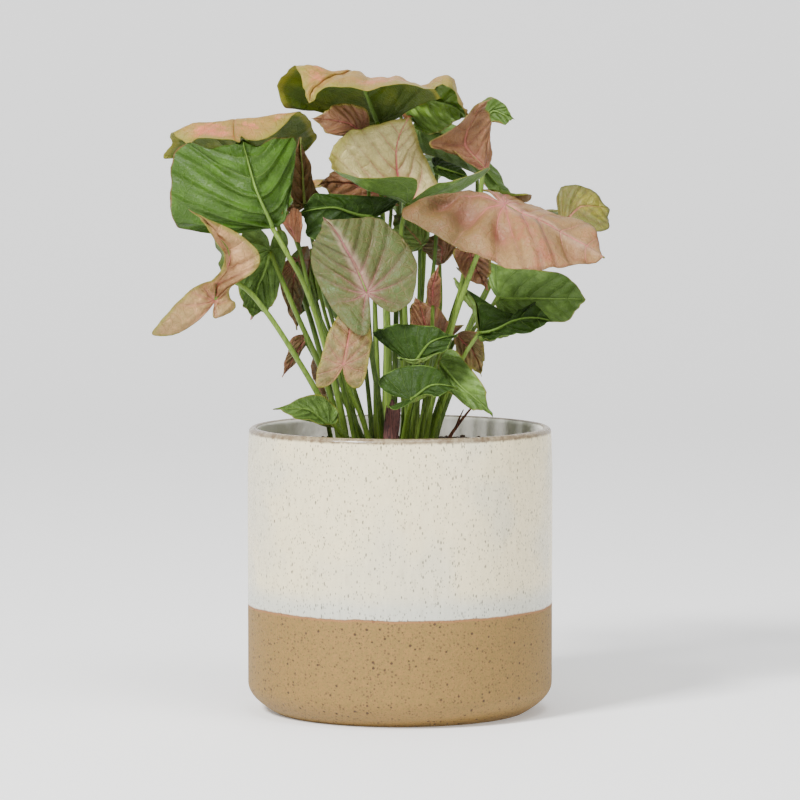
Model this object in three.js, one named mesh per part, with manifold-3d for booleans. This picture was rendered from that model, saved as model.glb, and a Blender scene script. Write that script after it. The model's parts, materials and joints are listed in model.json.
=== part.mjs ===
// Arrowhead plant (Syngonium podophyllum, pink cultivar) standing in a round ceramic planter.
// Millimetres, +Z up. The origin is the middle of the underside of the planter.
import * as THREE from 'three';
import { mergeVertices } from 'three/addons/utils/BufferGeometryUtils.js';
import Module from 'manifold-3d';

const wasm = await Module();
wasm.setup();

// Planter
const POT_RADIUS = 75;
const POT_HEIGHT = 140;
const POT_FOOT_RADIUS = 62.3;
const POT_CORNER_HEIGHT = 14;
const POT_RIM_RADIUS = 74.4;
const POT_RIM_EASE = 20;
const POT_WALL = 4.9;
const POT_FLOOR = 8;
const POT_SIDES = 36;
const CORNER_STEPS = 4;

// Compost
const SOIL_TOP = 129.7;
const SOIL_GAP = 0.3;
const HOLE_GAP = 0.4;
const HOLE_DEEPER = 0.4;

// Leaves and petioles
const BLADE_THICKNESS = 0.7;
const LARGE_LEAF = 52;
const LEAF_GRADES = {
  large: { outline: [4, 3, 1], rings: 4, petioleRadius: 1.5, petioleSteps: 7 },
  small: { outline: [3, 2, 1], rings: 3, petioleRadius: 1.2, petioleSteps: 5 },
};
const WIDEST_AT = 0.06;
const SINUS_AT = -0.05;
const RING_SPREAD = 0.9;
const PETIOLE_SIDES = 5;
const PETIOLE_FOOT = 122;
const PETIOLE_UPRIGHT = 131;
const RISE_ALONG = 0.45;
const RISE_UP = 0.55;
const RISE_FROM = 25;
const JOIN_ALONG = 0.08;
const SHORTEST_EDGE = 0.05;

// Each leaf is a flat arrowhead, laid in space by its control points. size is the midrib from hub to tip;
// half, lobe and spread are the half width, the length and the offset of the basal lobes as shares of size,
// and blunt rounds the tip. foot is where the petiole leaves the compost, bends are points on its way up,
// and the named points are [x, y, z] of the blade: hub, middle and tip of the midrib, the margin at the
// widest place (left, right) and at the shoulders (sleft, sright), the lobe ends (lleft, lright) and the
// inside of each half (cleft, cright). more holds further points as [along, across, x, y, z].
const LEAVES = [
  { name: 'top_hood', look: 'pink', size: 78, half: 0.50, lobe: 0.34, spread: 0.30, blunt: 0.10,
    foot: [-6, 10], bends: [[-8, 4, 231]],
    hub: [-11, 21, 289], mid: [-24, -4, 313], tip: [-44, -30, 299], left: [12, -26, 306],
    right: [-57, 15, 298], sleft: [-17, -31, 306], sright: [-53, -8, 316], lleft: [14, 4, 300],
    lright: [-29, 30, 297], cleft: [-2, -4, 311], cright: [-42, 18, 305],
    more: [[0.77, 0.15, -34, -32, 306], [0.77, -0.15, -48, -22, 308], [0.5, -0.2, -40, -8, 315]] },
  { name: 'top_fold', size: 48, half: 0.45, lobe: 0.20, spread: 0.25, blunt: 0.10,
    foot: [2, 26], bends: [[-1, 27, 240]],
    hub: [1, 26, 297], mid: [18, 12, 299], tip: [33, 10, 290], left: [12, 8, 284], right: [14, -2, 304],
    sleft: [25, 6, 287], sright: [24, -6, 305], lleft: [4, 20, 292], lright: [4, 20, 301],
    more: [[0.25, -0.25, 14, 12, 306], [0.5, -0.22, 25, 6, 311], [0.7, -0.12, 29, 8, 300]] },
  { name: 'left_big', size: 66, half: 0.50, lobe: 0.30, spread: 0.30, blunt: 0.60,
    foot: [-26, -10], bends: [[-46, -24, 210], [-56, -32, 229]],
    hub: [-62, -26, 239], mid: [-70, -35, 259], tip: [-77, -3, 280], left: [-53, -20, 255],
    right: [-111, -34, 251], sleft: [-54, -4, 278], sright: [-102, -14, 275], lleft: [-56, -22, 246],
    lright: [-94, -28, 236] },
  { name: 'left_hood', look: 'pink', size: 74, half: 0.50, lobe: 0.30, spread: 0.38, blunt: 0.10,
    foot: [-30, 18], bends: [[-60, 34, 235]],
    hub: [-69, 36, 264], mid: [-81, 10, 290], tip: [-78, -8, 281], left: [-44, 22, 288],
    right: [-113, 22, 279], sleft: [-53, 6, 291], sright: [-104, 0, 279], lleft: [-49, 34, 274],
    lright: [-107, 34, 269], cleft: [-63, 12, 289], cright: [-97, 12, 289],
    more: [[0.77, 0.15, -65, -4, 282], [0.77, -0.15, -95, -6, 281]] },
  { name: 'cream', look: 'sage', size: 60, half: 0.50, lobe: 0.34, spread: 0.30, blunt: 0.50,
    foot: [4, -4], bends: [[1, -2, 239]],
    hub: [4, -5, 250], mid: [-2, 2, 271], tip: [4, 0, 292], left: [-34, -6, 272], right: [24, 0, 255],
    sleft: [-23, -2, 282], sright: [8, 8, 277], lleft: [-12, -24, 263], lright: [28, -21, 262],
    more: [[0.2, -0.25, 12, 6, 262], [-0.2, -0.45, 42, -14, 266], [-0.15, 0.45, -30, -14, 265],
      [-0.2, 0.06, 9, -20, 262], [-0.06, -0.3, 22, -8, 252], [-0.02, 0.3, -15, -9, 256]] },
  { name: 'right_big', look: 'pink', size: 66, half: 0.50, lobe: 0.75, spread: 0.24, blunt: 0.15,
    foot: [10.5, -15], bends: [[12, -15, 144], [21, -18, 176], [31, -26, 208], [41, -36, 234]],
    hub: [51, -33, 250], mid: [72, -42, 240], tip: [98, -54, 225], left: [63, -10, 249],
    right: [47, -66, 224], sleft: [84, -22, 243], sright: [74, -66, 220], lleft: [58, -14, 254],
    lright: [3, -40, 250],
    more: [[-0.32, -0.48, 22, -60, 230], [-0.32, -0.06, 34, -28, 257], [-0.35, 0.42, 60, -8, 251],
      [0.77, 0.15, 94, -38, 236], [0.77, -0.15, 87, -60, 223]] },
  { name: 'right_curl', look: 'sage', size: 36, half: 0.45, lobe: 0.25, spread: 0.25, blunt: 0.40,
    foot: [17, 9], bends: [[52, 20, 208]],
    hub: [80, -4, 240], mid: [89, 0, 248], tip: [103, 4, 247], left: [81, 6, 258], right: [86, -8, 237],
    sleft: [93, 6, 256], sright: [101, -4, 238], lleft: [77, 4, 249], lright: [79, -8, 238] },
  { name: 'front_curl', look: 'pink', size: 60, half: 0.38, lobe: 0.60, spread: 0.30, blunt: 0.10,
    foot: [-23, -20],
    bends: [[-31, -24, 142], [-46, -30, 169], [-65, -36, 199], [-76, -37, 211], [-84, -37, 214]],
    hub: [-89, -50, 205], mid: [-82, -42, 225], tip: [-101, -56, 249], left: [-99, -58, 211],
    right: [-81, -44, 211], sleft: [-84, -54, 227], sright: [-68, -38, 228], lleft: [-116, -66, 189],
    lright: [-83, -50, 198],
    more: [[0.25, 0, -88, -44, 214], [0.75, 0, -89, -47, 237], [0.77, 0.13, -94, -54, 243],
      [0.3, 0.36, -90, -56, 216], [0.77, -0.13, -82, -44, 240], [0.3, -0.36, -70, -40, 218],
      [-0.35, 0.09, -96, -60, 196], [-0.55, 0.15, -106, -64, 188], [-0.3, 0.4, -109, -64, 202]] },
  { name: 'front_heart', look: 'sage', size: 58, half: 0.50, lobe: 0.42, spread: 0.30, blunt: 0.10,
    foot: [-8, -24], bends: [[-14, -36, 180]],
    hub: [-16, -50, 209], mid: [-26, -56, 230], tip: [-37, -50, 245], left: [-39, -46, 212],
    right: [7, -44, 225], sleft: [-42, -44, 232], sright: [-13, -40, 245], lleft: [-17, -61, 189],
    lright: [1, -52, 201] },
  { name: 'front_arrow', look: 'pink', size: 42, half: 0.36, lobe: 0.40, spread: 0.24, blunt: 0.10,
    foot: [-14, -34], bends: [[-24, -48, 161]],
    hub: [-27, -58, 175], mid: [-24, -51, 193], tip: [-24, -47, 207], left: [-37, -56, 181],
    right: [-14, -56, 183], sleft: [-31, -49, 196], sright: [-16, -49, 196], lleft: [-38, -54, 163],
    lright: [-21, -56, 163] },
  { name: 'right_peak', look: 'pink', size: 52, half: 0.40, lobe: 0.20, spread: 0.20, blunt: 0.10,
    foot: [12, 12], bends: [[36, 8, 221]],
    hub: [41, 4, 267], mid: [32, 8, 282], tip: [45, 20, 301], left: [25, -2, 276], right: [44, 14, 280],
    sleft: [16, -6, 282], sright: [45, 18, 290], lleft: [34, 0, 269], lright: [43, 10, 267],
    more: [[0.7, 0.22, 28, -1, 290], [0.85, 0.1, 35, 9, 297]] },
  { name: 'peak_back', size: 44, half: 0.40, lobe: 0.20, spread: 0.20, blunt: 0.50,
    foot: [13, 31], bends: [[37, 50, 229]],
    hub: [39, 50, 285], mid: [47, 46, 294], tip: [57, 40, 290], right: [46, 48, 301],
    left: [45, 42, 288], sright: [52, 44, 296], sleft: [51, 41, 288], lright: [38, 54, 293],
    lleft: [38, 50, 281] },
  { name: 'right_drape', size: 72, half: 0.42, lobe: 0.15, spread: 0.25, blunt: 0.10,
    foot: [8, 32], bends: [[12, 42, 230]],
    hub: [10, 40, 286], mid: [34, 30, 274], tip: [60, 18, 244], left: [12, 24, 274],
    right: [28, 50, 286], sleft: [35, 16, 263], sright: [49, 36, 264], lleft: [4, 32, 277],
    lright: [10, 50, 289] },
  { name: 'mid_dark', size: 32, half: 0.42, lobe: 0.20, spread: 0.25, blunt: 0.10,
    foot: [4, 16], bends: [[17, 13, 221]],
    hub: [18, 12, 267], mid: [25, 10, 265], tip: [35, 9, 262], right: [21, 18, 271], left: [22, 8, 262],
    sright: [30, 14, 267], sleft: [29, 8, 261] },
  { name: 'mid_shelf', size: 62, half: 0.42, lobe: 0.25, spread: 0.25, blunt: 0.10,
    foot: [-4, 2], bends: [[-7, -1, 207]],
    hub: [-14, 0, 243], mid: [-32, -9, 248], tip: [-50, -8, 245], left: [-7, -1, 253],
    right: [-31, -16, 233], sleft: [-40, -8, 255], sright: [-46, -10, 234], lleft: [-1, 8, 250],
    lright: [-9, -8, 240],
    more: [[0.3, 0.4, -20, -4, 254]] },
  { name: 'top_small', look: 'pink', size: 42, half: 0.42, lobe: 0.15, spread: 0.22, blunt: 0.10,
    foot: [-10, 22], bends: [[-14, 14, 231]],
    hub: [-17, 8, 283], mid: [-27, 6, 289], tip: [-44, 4, 291], left: [-24, 5, 282],
    right: [-20, 10, 297], sleft: [-37, 2, 284], sright: [-33, 7, 298], lleft: [-16, 7, 280],
    lright: [-15, 10, 289] },
  { name: 'mid_orange', look: 'pink', size: 30, half: 0.42, lobe: 0.20, spread: 0.25, blunt: 0.10,
    foot: [-22, 2], bends: [[-43, -10, 203]],
    hub: [-50, -11, 231], mid: [-54, -14, 239], tip: [-61, -17, 240], left: [-57, -11, 241],
    right: [-48, -17, 245], sleft: [-59, -13, 243], sright: [-53, -17, 248], lleft: [-49, -7, 233],
    lright: [-48, -15, 236] },
  { name: 'left_hanging', size: 52, half: 0.40, lobe: 0.34, spread: 0.24, blunt: 0.10,
    foot: [-28, 6], bends: [[-51, -2, 196]],
    hub: [-64, 0, 226], mid: [-70, 2, 209], tip: [-73, 2, 192], right: [-60, 6, 207],
    left: [-79, -9, 212], sright: [-66, 8, 195], sleft: [-77, -4, 198], lright: [-57, 4, 236],
    lleft: [-74, -5, 239] },
  { name: 'left_brown', look: 'copper', size: 50, half: 0.40, lobe: 0.20, spread: 0.20, blunt: 0.10,
    foot: [-22, 22], bends: [[-40, 12, 216]],
    hub: [-47, 6, 249], mid: [-48, 8, 266], tip: [-49, 8, 282], left: [-41, 12, 256],
    right: [-55, 2, 256], sleft: [-45, 10, 271], sright: [-54, 4, 272], lleft: [-40, 12, 249],
    lright: [-53, 2, 245] },
  { name: 'mid_brown', look: 'copper', size: 48, half: 0.42, lobe: 0.15, spread: 0.25, blunt: 0.10,
    foot: [-8, 16], bends: [[-6, 26, 221]],
    hub: [-4, 28, 250], mid: [-25, 24, 258], tip: [-41, 20, 258], left: [-17, 18, 250],
    right: [-17, 32, 262], sleft: [-34, 16, 252], sright: [-34, 26, 265], lleft: [-3, 22, 248],
    lright: [-2, 32, 255] },
  { name: 'right_bud', look: 'pink', size: 40, half: 0.40, lobe: 0.20, spread: 0.20, blunt: 0.10,
    foot: [8.5, -6], bends: [[27, -6, 198]],
    hub: [33, -14, 227], mid: [36, -18, 219], tip: [43, -20, 208], left: [44, -10, 225],
    right: [27, -20, 222], sleft: [44, -14, 215], sright: [33, -22, 213] },
  { name: 'mid_young', look: 'copper', size: 34, half: 0.42, lobe: 0.20, spread: 0.25, blunt: 0.10,
    foot: [1, 9], bends: [[9, 16, 196]],
    hub: [10, 14, 229], mid: [4, 12, 236], tip: [-4, 12, 244], left: [0, 6, 229], right: [12, 18, 240],
    sleft: [-4, 6, 236], sright: [5, 16, 246] },
  { name: 'mid_copper', look: 'copper', size: 34, half: 0.42, lobe: 0.15, spread: 0.20, blunt: 0.10,
    foot: [10, 18], bends: [[20, 30, 195]],
    hub: [20, 28, 219], mid: [20, 24, 227], tip: [11, 20, 232], left: [14, 18, 223],
    right: [27, 28, 230], sleft: [11, 16, 227], sright: [20, 26, 235] },
  { name: 'rolled', look: 'copper', size: 26, half: 0.26, lobe: 0.06, spread: 0.10, blunt: 0.10,
    foot: [5, -12], bends: [[15, -12, 178]],
    hub: [16, -10, 200], mid: [16, -12, 210], tip: [19, -10, 220], left: [13, -10, 204],
    right: [20, -10, 203], sleft: [14, -12, 213], sright: [20, -10, 212] },
  { name: 'left_copper', look: 'copper', size: 40, half: 0.34, lobe: 0.34, spread: 0.20, blunt: 0.10,
    foot: [-20, 16], bends: [[-43, 15, 201]],
    hub: [-51, 15, 220], mid: [-54, 17, 205], tip: [-51, 19, 186], left: [-48, 23, 206],
    right: [-59, 13, 209], sleft: [-48, 23, 195], sright: [-56, 15, 197], lleft: [-46, 19, 228],
    lright: [-57, 13, 220] },
  { name: 'left_dark', size: 38, half: 0.40, lobe: 0.20, spread: 0.22, blunt: 0.10,
    foot: [-16, 24], bends: [[-35, 38, 185]],
    hub: [-45, 41, 224], mid: [-47, 40, 207], tip: [-51, 38, 191], left: [-40, 42, 206],
    right: [-56, 36, 213], sleft: [-42, 42, 197], sright: [-53, 38, 200] },
  { name: 'left_sliver', look: 'copper', size: 22, half: 0.28, lobe: 0.12, spread: 0.10, blunt: 0.10,
    foot: [-18, 8], bends: [[-40, 6, 170]],
    hub: [-47, 4, 183], mid: [-52, 2, 175], tip: [-58, 0, 164], left: [-48, 4, 177],
    right: [-55, 0, 178], sleft: [-52, 2, 170], sright: [-57, -1, 171], lleft: [-45, 6, 184],
    lright: [-50, 2, 185] },
  { name: 'right_low', size: 44, half: 0.42, lobe: 0.20, spread: 0.25, blunt: 0.65,
    foot: [14, 3], bends: [[36, 4, 187]],
    hub: [49, 6, 203], mid: [69, -2, 203], tip: [91, -4, 203], right: [49, 6, 219], left: [61, -8, 193],
    sright: [78, 2, 213], sleft: [78, -8, 194], lright: [43, 14, 215], lleft: [49, -2, 197] },
  { name: 'right_bumpy', size: 40, half: 0.42, lobe: 0.30, spread: 0.22, blunt: 0.10,
    foot: [14.5, -9.5], bends: [[33, -18, 179]],
    hub: [39, -14, 187], mid: [55, -18, 193], tip: [75, -22, 193], right: [50, -8, 197],
    left: [51, -22, 186], sright: [66, -14, 203], sleft: [64, -24, 188], lright: [36, -6, 203],
    lleft: [40, -18, 185],
    more: [[-0.1, -0.35, 28, -2, 210], [-0.1, -0.2, 36, -8, 199]] },
  { name: 'low_copper', look: 'copper', size: 38, half: 0.40, lobe: 0.25, spread: 0.22, blunt: 0.10,
    foot: [5, 5], bends: [],
    hub: [15, 2, 179], mid: [12, -2, 191], tip: [7, 0, 204], left: [5, -2, 192], right: [26, 4, 190],
    sleft: [5, 0, 200], sright: [18, 2, 200], lleft: [9, 2, 180], lright: [29, 8, 187] },
  { name: 'low_brown', look: 'copper', size: 36, half: 0.34, lobe: 0.20, spread: 0.20, blunt: 0.10,
    foot: [9, 0], bends: [],
    hub: [28, -3, 185], mid: [35, -5, 178], tip: [40, -8, 165], left: [41, -2, 180],
    right: [31, -8, 172], sleft: [42, -5, 173], sright: [35, -10, 168], lleft: [36, -1, 187],
    lright: [27, -6, 183] },
  { name: 'low_green', size: 40, half: 0.42, lobe: 0.55, spread: 0.28, blunt: 0.10,
    foot: [3, -28], bends: [[6, -40, 163]],
    hub: [7, -46, 175], mid: [15, -52, 185], tip: [28, -48, 188], right: [-4, -44, 193],
    left: [17, -54, 180], sright: [16, -46, 192], sleft: [24, -52, 184], lright: [-12, -45, 187],
    lleft: [-1, -44, 177] },
  { name: 'lowest_green', size: 40, half: 0.42, lobe: 0.40, spread: 0.26, blunt: 0.10,
    foot: [1, -36], bends: [[3, -44, 146]],
    hub: [6, -58, 158], mid: [16, -62, 165], tip: [28, -60, 163], right: [1, -50, 173],
    left: [11, -66, 160], sright: [18, -54, 172], sleft: [21, -64, 161], lright: [-10, -50, 164],
    lleft: [-5, -62, 154] },
  { name: 'low_fold', size: 44, half: 0.36, lobe: 0.15, spread: 0.16, blunt: 0.10,
    foot: [12, -24], bends: [[18, -30, 163]],
    hub: [19, -35, 174], mid: [29, -43, 163], tip: [45, -50, 149], right: [32, -38, 174],
    left: [24, -48, 160], sright: [42, -44, 161], sleft: [36, -53, 152], lright: [22, -31, 179],
    lleft: [19, -43, 169] },
  { name: 'rim_left', size: 34, half: 0.42, lobe: 0.20, spread: 0.20, blunt: 0.10,
    foot: [-33, -25], bends: [],
    hub: [-35, -38, 144], mid: [-45, -46, 152], tip: [-61, -55, 153], right: [-44, -52, 147],
    left: [-38, -36, 158], sright: [-52, -54, 149], sleft: [-50, -46, 157], lright: [-33, -44, 144],
    lleft: [-30, -32, 147] },
];

// Leaves at the back hang plainly: aim is the heading of the midrib and dip its slope, in degrees.
const PLAIN_LEAVES = [
  { name: 'back_far_left', look: 'pink', size: 56, hub: [-60, 62, 252],
    aim: 128, dip: -10, lobe: 0.28, foot: [-27, 30] },
  { name: 'back_high', look: 'sage', size: 58, hub: [0, 60, 266],
    aim: 88, dip: -18, lobe: 0.22, foot: [-3, 36] },
  { name: 'back_right', look: 'pink', size: 50, hub: [62, 42, 240],
    aim: 46, dip: -8, lobe: 0.3, droop: 0.15, foot: [14, 24] },
  { name: 'back_low_right', look: 'green', size: 42, hub: [46, 62, 207],
    aim: 66, dip: -8, roll: 10, lobe: 0.25, foot: [17, 37] },
  { name: 'back_middle', look: 'sage', size: 50, hub: [-24, 62, 214],
    aim: 98, dip: -30, roll: -8, lobe: 0.25, foot: [-14, 40] },
  { name: 'back_low', look: 'green', size: 40, hub: [8, 62, 176],
    aim: 84, dip: -34, foot: [6, 44] },
  { name: 'back_low_left', look: 'copper', size: 34, hub: [-28, 56, 168],
    aim: 116, dip: -30, foot: [-22, 40] },
  { name: 'back_top', look: 'pink', size: 50, hub: [-14, 48, 293],
    aim: 100, dip: 6, lobe: 0.22, droop: 0.35, foot: [-12, 31] },
];
const PLAIN = { half: 0.45, lobe: 0.36, spread: 0.26, blunt: 0.1, cup: 0.12, droop: 0.25, roll: 0 };

// Where each named control point lies on the flat leaf, as shares of its size.
function flatSpots({ half, lobe, spread }) {
  return {
    hub: [0, 0], mid: [0.5, 0], tip: [1, 0],
    left: [WIDEST_AT, half], right: [WIDEST_AT, -half],
    sleft: [0.55, half * 0.66], sright: [0.55, -half * 0.66],
    lleft: [-lobe, spread], lright: [-lobe, -spread],
    cleft: [0.25, half * 0.5], cright: [0.25, -half * 0.5],
  };
}

// Gives a plain leaf its control points: cupped across, drooping along.
function placePlainLeaf(row) {
  const leaf = { ...PLAIN, bends: [], ...row };
  const aim = THREE.MathUtils.degToRad(leaf.aim);
  const dip = THREE.MathUtils.degToRad(leaf.dip);
  const level = Math.cos(dip);
  const along = new THREE.Vector3(Math.cos(aim) * level, Math.sin(aim) * level, Math.sin(dip));
  const across = new THREE.Vector3(-Math.sin(aim), Math.cos(aim), 0)
    .applyAxisAngle(along, THREE.MathUtils.degToRad(leaf.roll));
  const up = new THREE.Vector3().crossVectors(along, across);
  const hub = new THREE.Vector3(...leaf.hub);
  for (const [spot, [x, y]] of Object.entries(flatSpots(leaf))) {
    const lift = leaf.cup * (1.4 * Math.abs(y) + 1.5 * y * y)
      - leaf.droop * (x * x + 0.2 * Math.min(x, 0) ** 2);
    leaf[spot] = hub.clone()
      .addScaledVector(along, leaf.size * x)
      .addScaledVector(across, leaf.size * y)
      .addScaledVector(up, leaf.size * lift)
      .toArray();
  }
  return leaf;
}

// The margin of the left half from the tip round the lobe to the sinus, on a leaf of size 1.
function halfOutline({ half, lobe, spread, blunt }, counts) {
  const point = (x, y) => new THREE.Vector2(x, y);
  const parts = [
    [point(1, 0), point(0.8, blunt * half), point(0.5, half), point(WIDEST_AT, half)],
    [point(WIDEST_AT, half), point(WIDEST_AT - 0.26, half), point(-lobe * 1.05, spread * 1.55),
      point(-lobe, spread)],
    [point(-lobe, spread), point(-lobe * 0.97, spread * 0.45), point(-0.14, 0.015), point(SINUS_AT, 0)],
  ];
  const margin = parts.flatMap((part, k) => {
    const curve = new THREE.CubicBezierCurve(...part);
    return Array.from({ length: counts[k] }, (_, i) => curve.getPoint(i / counts[k]));
  });
  margin.push(parts[2][3]);
  return margin;
}

// Solves a small dense linear system with several right-hand sides by elimination.
function solve(matrix, right) {
  const n = matrix.length;
  const rows = matrix.map((row, i) => [...row, ...right[i]]);
  for (let c = 0; c < n; c++) {
    let best = c;
    for (let r = c + 1; r < n; r++) if (Math.abs(rows[r][c]) > Math.abs(rows[best][c])) best = r;
    [rows[c], rows[best]] = [rows[best], rows[c]];
    for (let r = 0; r < n; r++) {
      if (r === c) continue;
      const factor = rows[r][c] / rows[c][c];
      for (let k = c; k < rows[r].length; k++) rows[r][k] -= factor * rows[c][k];
    }
  }
  return rows.map((row, i) => row.slice(n).map((value) => value / row[i]));
}

// A thin-plate spline from the flat leaf to space: the least bent surface through the control points.
function thinPlate(flat, placed) {
  const bend = (dx, dy) => {
    const d2 = dx * dx + dy * dy;
    return d2 > 1e-12 ? 0.5 * d2 * Math.log(d2) : 0;
  };
  const affine = flat.map(([x, y]) => [1, x, y]);
  const matrix = flat.map(([x, y], i) => [...flat.map(([u, v]) => bend(x - u, y - v)), ...affine[i]]);
  for (let k = 0; k < 3; k++) matrix.push([...affine.map((row) => row[k]), 0, 0, 0]);
  const weights = solve(matrix, [...placed, [0, 0, 0], [0, 0, 0], [0, 0, 0]]);
  return (x, y) => {
    const basis = [...flat.map(([u, v]) => bend(x - u, y - v)), 1, x, y];
    const at = [0, 1, 2].map((axis) => basis.reduce((sum, value, i) => sum + value * weights[i][axis], 0));
    return new THREE.Vector3(...at);
  };
}

// The closed blade: a fan of rings from the hub to the margin, laid in space and thickened both ways.
function bladeGeometry(leaf, grade) {
  const spots = flatSpots(leaf);
  const named = Object.keys(spots).filter((spot) => leaf[spot]);
  const further = leaf.more ?? [];
  const scaled = ([x, y]) => [x * leaf.size, y * leaf.size];
  const toSpace = thinPlate(
    [...named.map((spot) => scaled(spots[spot])), ...further.map(scaled)],
    [...named.map((spot) => leaf[spot]), ...further.map((point) => point.slice(2))],
  );
  const left = halfOutline(leaf, grade.outline);
  const margin = [
    ...left.map(({ x, y }) => [x, -y]).reverse(),
    ...left.slice(1, -1).map(({ x, y }) => [x, y]),
  ];
  const spokes = margin.length;
  const middle = [toSpace(0, 0)];
  for (let ring = 1; ring <= grade.rings; ring++) {
    const share = leaf.size * (ring / grade.rings) ** RING_SPREAD;
    for (const [x, y] of margin) middle.push(toSpace(x * share, y * share));
  }

  const at = (ring, spoke) => 1 + (ring - 1) * spokes + (spoke % spokes);
  const faces = [];
  for (let s = 0; s < spokes; s++) {
    faces.push([0, at(1, s), at(1, s + 1)]);
    for (let ring = 1; ring < grade.rings; ring++) {
      faces.push([at(ring, s), at(ring + 1, s), at(ring + 1, s + 1)]);
      faces.push([at(ring, s), at(ring + 1, s + 1), at(ring, s + 1)]);
    }
  }

  const normals = middle.map(() => new THREE.Vector3());
  for (const [a, b, c] of faces) {
    const side = new THREE.Vector3().subVectors(middle[b], middle[a]);
    const normal = side.cross(new THREE.Vector3().subVectors(middle[c], middle[a]));
    for (const corner of [a, b, c]) normals[corner].add(normal);
  }
  normals.forEach((normal) => normal.setLength(BLADE_THICKNESS / 2));
  const count = middle.length;
  const positions = [
    ...middle.flatMap((p, i) => p.clone().add(normals[i]).toArray()),
    ...middle.flatMap((p, i) => p.clone().sub(normals[i]).toArray()),
  ];

  const index = faces.flatMap(([a, b, c]) => [a, b, c, c + count, b + count, a + count]);
  for (let s = 0; s < spokes; s++) {
    const a = at(grade.rings, s);
    const b = at(grade.rings, s + 1);
    index.push(a, a + count, b + count, a, b + count, b);
  }
  const geometry = new THREE.BufferGeometry();
  geometry.setAttribute('position', new THREE.Float32BufferAttribute(positions, 3));
  geometry.setIndex(index);
  return geometry;
}

// A round stalk along a smooth path through the given points.
function stalkGeometry(points, radius, steps) {
  const section = new THREE.Shape(
    Array.from({ length: PETIOLE_SIDES }, (_, i) => {
      const turn = (2 * Math.PI * i) / PETIOLE_SIDES;
      return new THREE.Vector2(radius * Math.cos(turn), radius * Math.sin(turn));
    }),
  );
  const path = new THREE.CatmullRomCurve3(points.map((p) => new THREE.Vector3(...p)), false, 'centripetal');
  return new THREE.ExtrudeGeometry(section, { steps, extrudePath: path, curveSegments: 1 });
}

// The hole that a stalk stands in: the same path, a little wider and deeper.
function stalkHole(points, radius, steps) {
  const [[x, y, z], ...rest] = points;
  const wider = radius + HOLE_GAP / Math.cos(Math.PI / PETIOLE_SIDES);
  return stalkGeometry([[x, y, z - HOLE_DEEPER], ...rest], wider, steps);
}

// The petiole stands upright in its hole, leans out on the way up, passes through its bends and ends in the
// foot of the midrib.
function petiolePoints({ foot, bends, hub, mid }) {
  const [x, y] = foot;
  const next = bends[0] ?? hub;
  const height = next[2] - PETIOLE_UPRIGHT;
  const points = [[x, y, PETIOLE_FOOT], [x, y, PETIOLE_UPRIGHT]];
  if (height > RISE_FROM) {
    points.push([
      x + RISE_ALONG * (next[0] - x),
      y + RISE_ALONG * (next[1] - y),
      PETIOLE_UPRIGHT + RISE_UP * height,
    ]);
  }
  return [...points, ...bends, hub.map((value, axis) => value + JOIN_ALONG * (mid[axis] - value))];
}

function toManifold(geometry) {
  const bare = geometry.clone();
  bare.deleteAttribute('normal');
  bare.deleteAttribute('uv');
  const merged = mergeVertices(bare);
  const mesh = new wasm.Mesh({
    numProp: 3,
    vertProperties: new Float32Array(merged.attributes.position.array),
    triVerts: new Uint32Array(merged.index.array),
  });
  return new wasm.Manifold(mesh);
}

// Collapses the edges that a join leaves too short, wherever the surface stays closed.
function collapseShortEdges(points, faces) {
  const around = (corner) => new Set(faces.filter((face) => face.includes(corner)).flat());
  const findShort = () => {
    for (const face of faces) {
      for (let k = 0; k < 3; k++) {
        const [a, b] = [face[k], face[(k + 1) % 3]];
        if (points[a].distanceTo(points[b]) > SHORTEST_EDGE) continue;
        const besideB = around(b);
        const shared = [...around(a)].filter((corner) => corner !== a && corner !== b && besideB.has(corner));
        if (shared.length === 2) return [a, b];
      }
    }
    return null;
  };
  for (let short = findShort(); short; short = findShort()) {
    const [a, b] = short;
    faces = faces
      .filter((face) => !(face.includes(a) && face.includes(b)))
      .map((face) => face.map((corner) => (corner === b ? a : corner)));
  }
  return faces;
}

// The largest body of a solid as a mesh.
function toGeometry(manifold) {
  const pieces = manifold.decompose();
  const body = pieces.reduce((best, piece) => (piece.volume() > best.volume() ? piece : best));
  const { vertProperties, triVerts } = body.getMesh();
  const points = Array.from({ length: vertProperties.length / 3 }, (_, i) =>
    new THREE.Vector3().fromArray(vertProperties, 3 * i));
  const faces = Array.from({ length: triVerts.length / 3 }, (_, i) => [...triVerts.slice(3 * i, 3 * i + 3)]);
  const geometry = new THREE.BufferGeometry().setFromPoints(points);
  geometry.setIndex(collapseShortEdges(points, faces).flat());
  return mergeVertices(geometry.toNonIndexed());
}

const group = new THREE.Group();
const holes = [];

function addMesh(name, geometry, { color, roughness, metalness = 0 }) {
  const material = new THREE.MeshStandardMaterial({ color, roughness, metalness, flatShading: true });
  const mesh = new THREE.Mesh(geometry, material);
  mesh.name = name;
  group.add(mesh);
}

const LEAF_LOOKS = {
  pink: { color: 0xc39a80, roughness: 0.5 },
  green: { color: 0x5f8a3f, roughness: 0.45 },
  sage: { color: 0x97a675, roughness: 0.5 },
  copper: { color: 0x8a6247, roughness: 0.55 },
};

function addLeaf(leaf) {
  const grade = leaf.size >= LARGE_LEAF ? LEAF_GRADES.large : LEAF_GRADES.small;
  const blade = toManifold(bladeGeometry(leaf, grade));
  const stalk = [petiolePoints(leaf), grade.petioleRadius, grade.petioleSteps];
  const petiole = toManifold(stalkGeometry(...stalk));
  addMesh(`leaf_${leaf.name}`, toGeometry(blade.add(petiole)), LEAF_LOOKS[leaf.look ?? 'green']);
  holes.push(stalkHole(...stalk));
}

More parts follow.
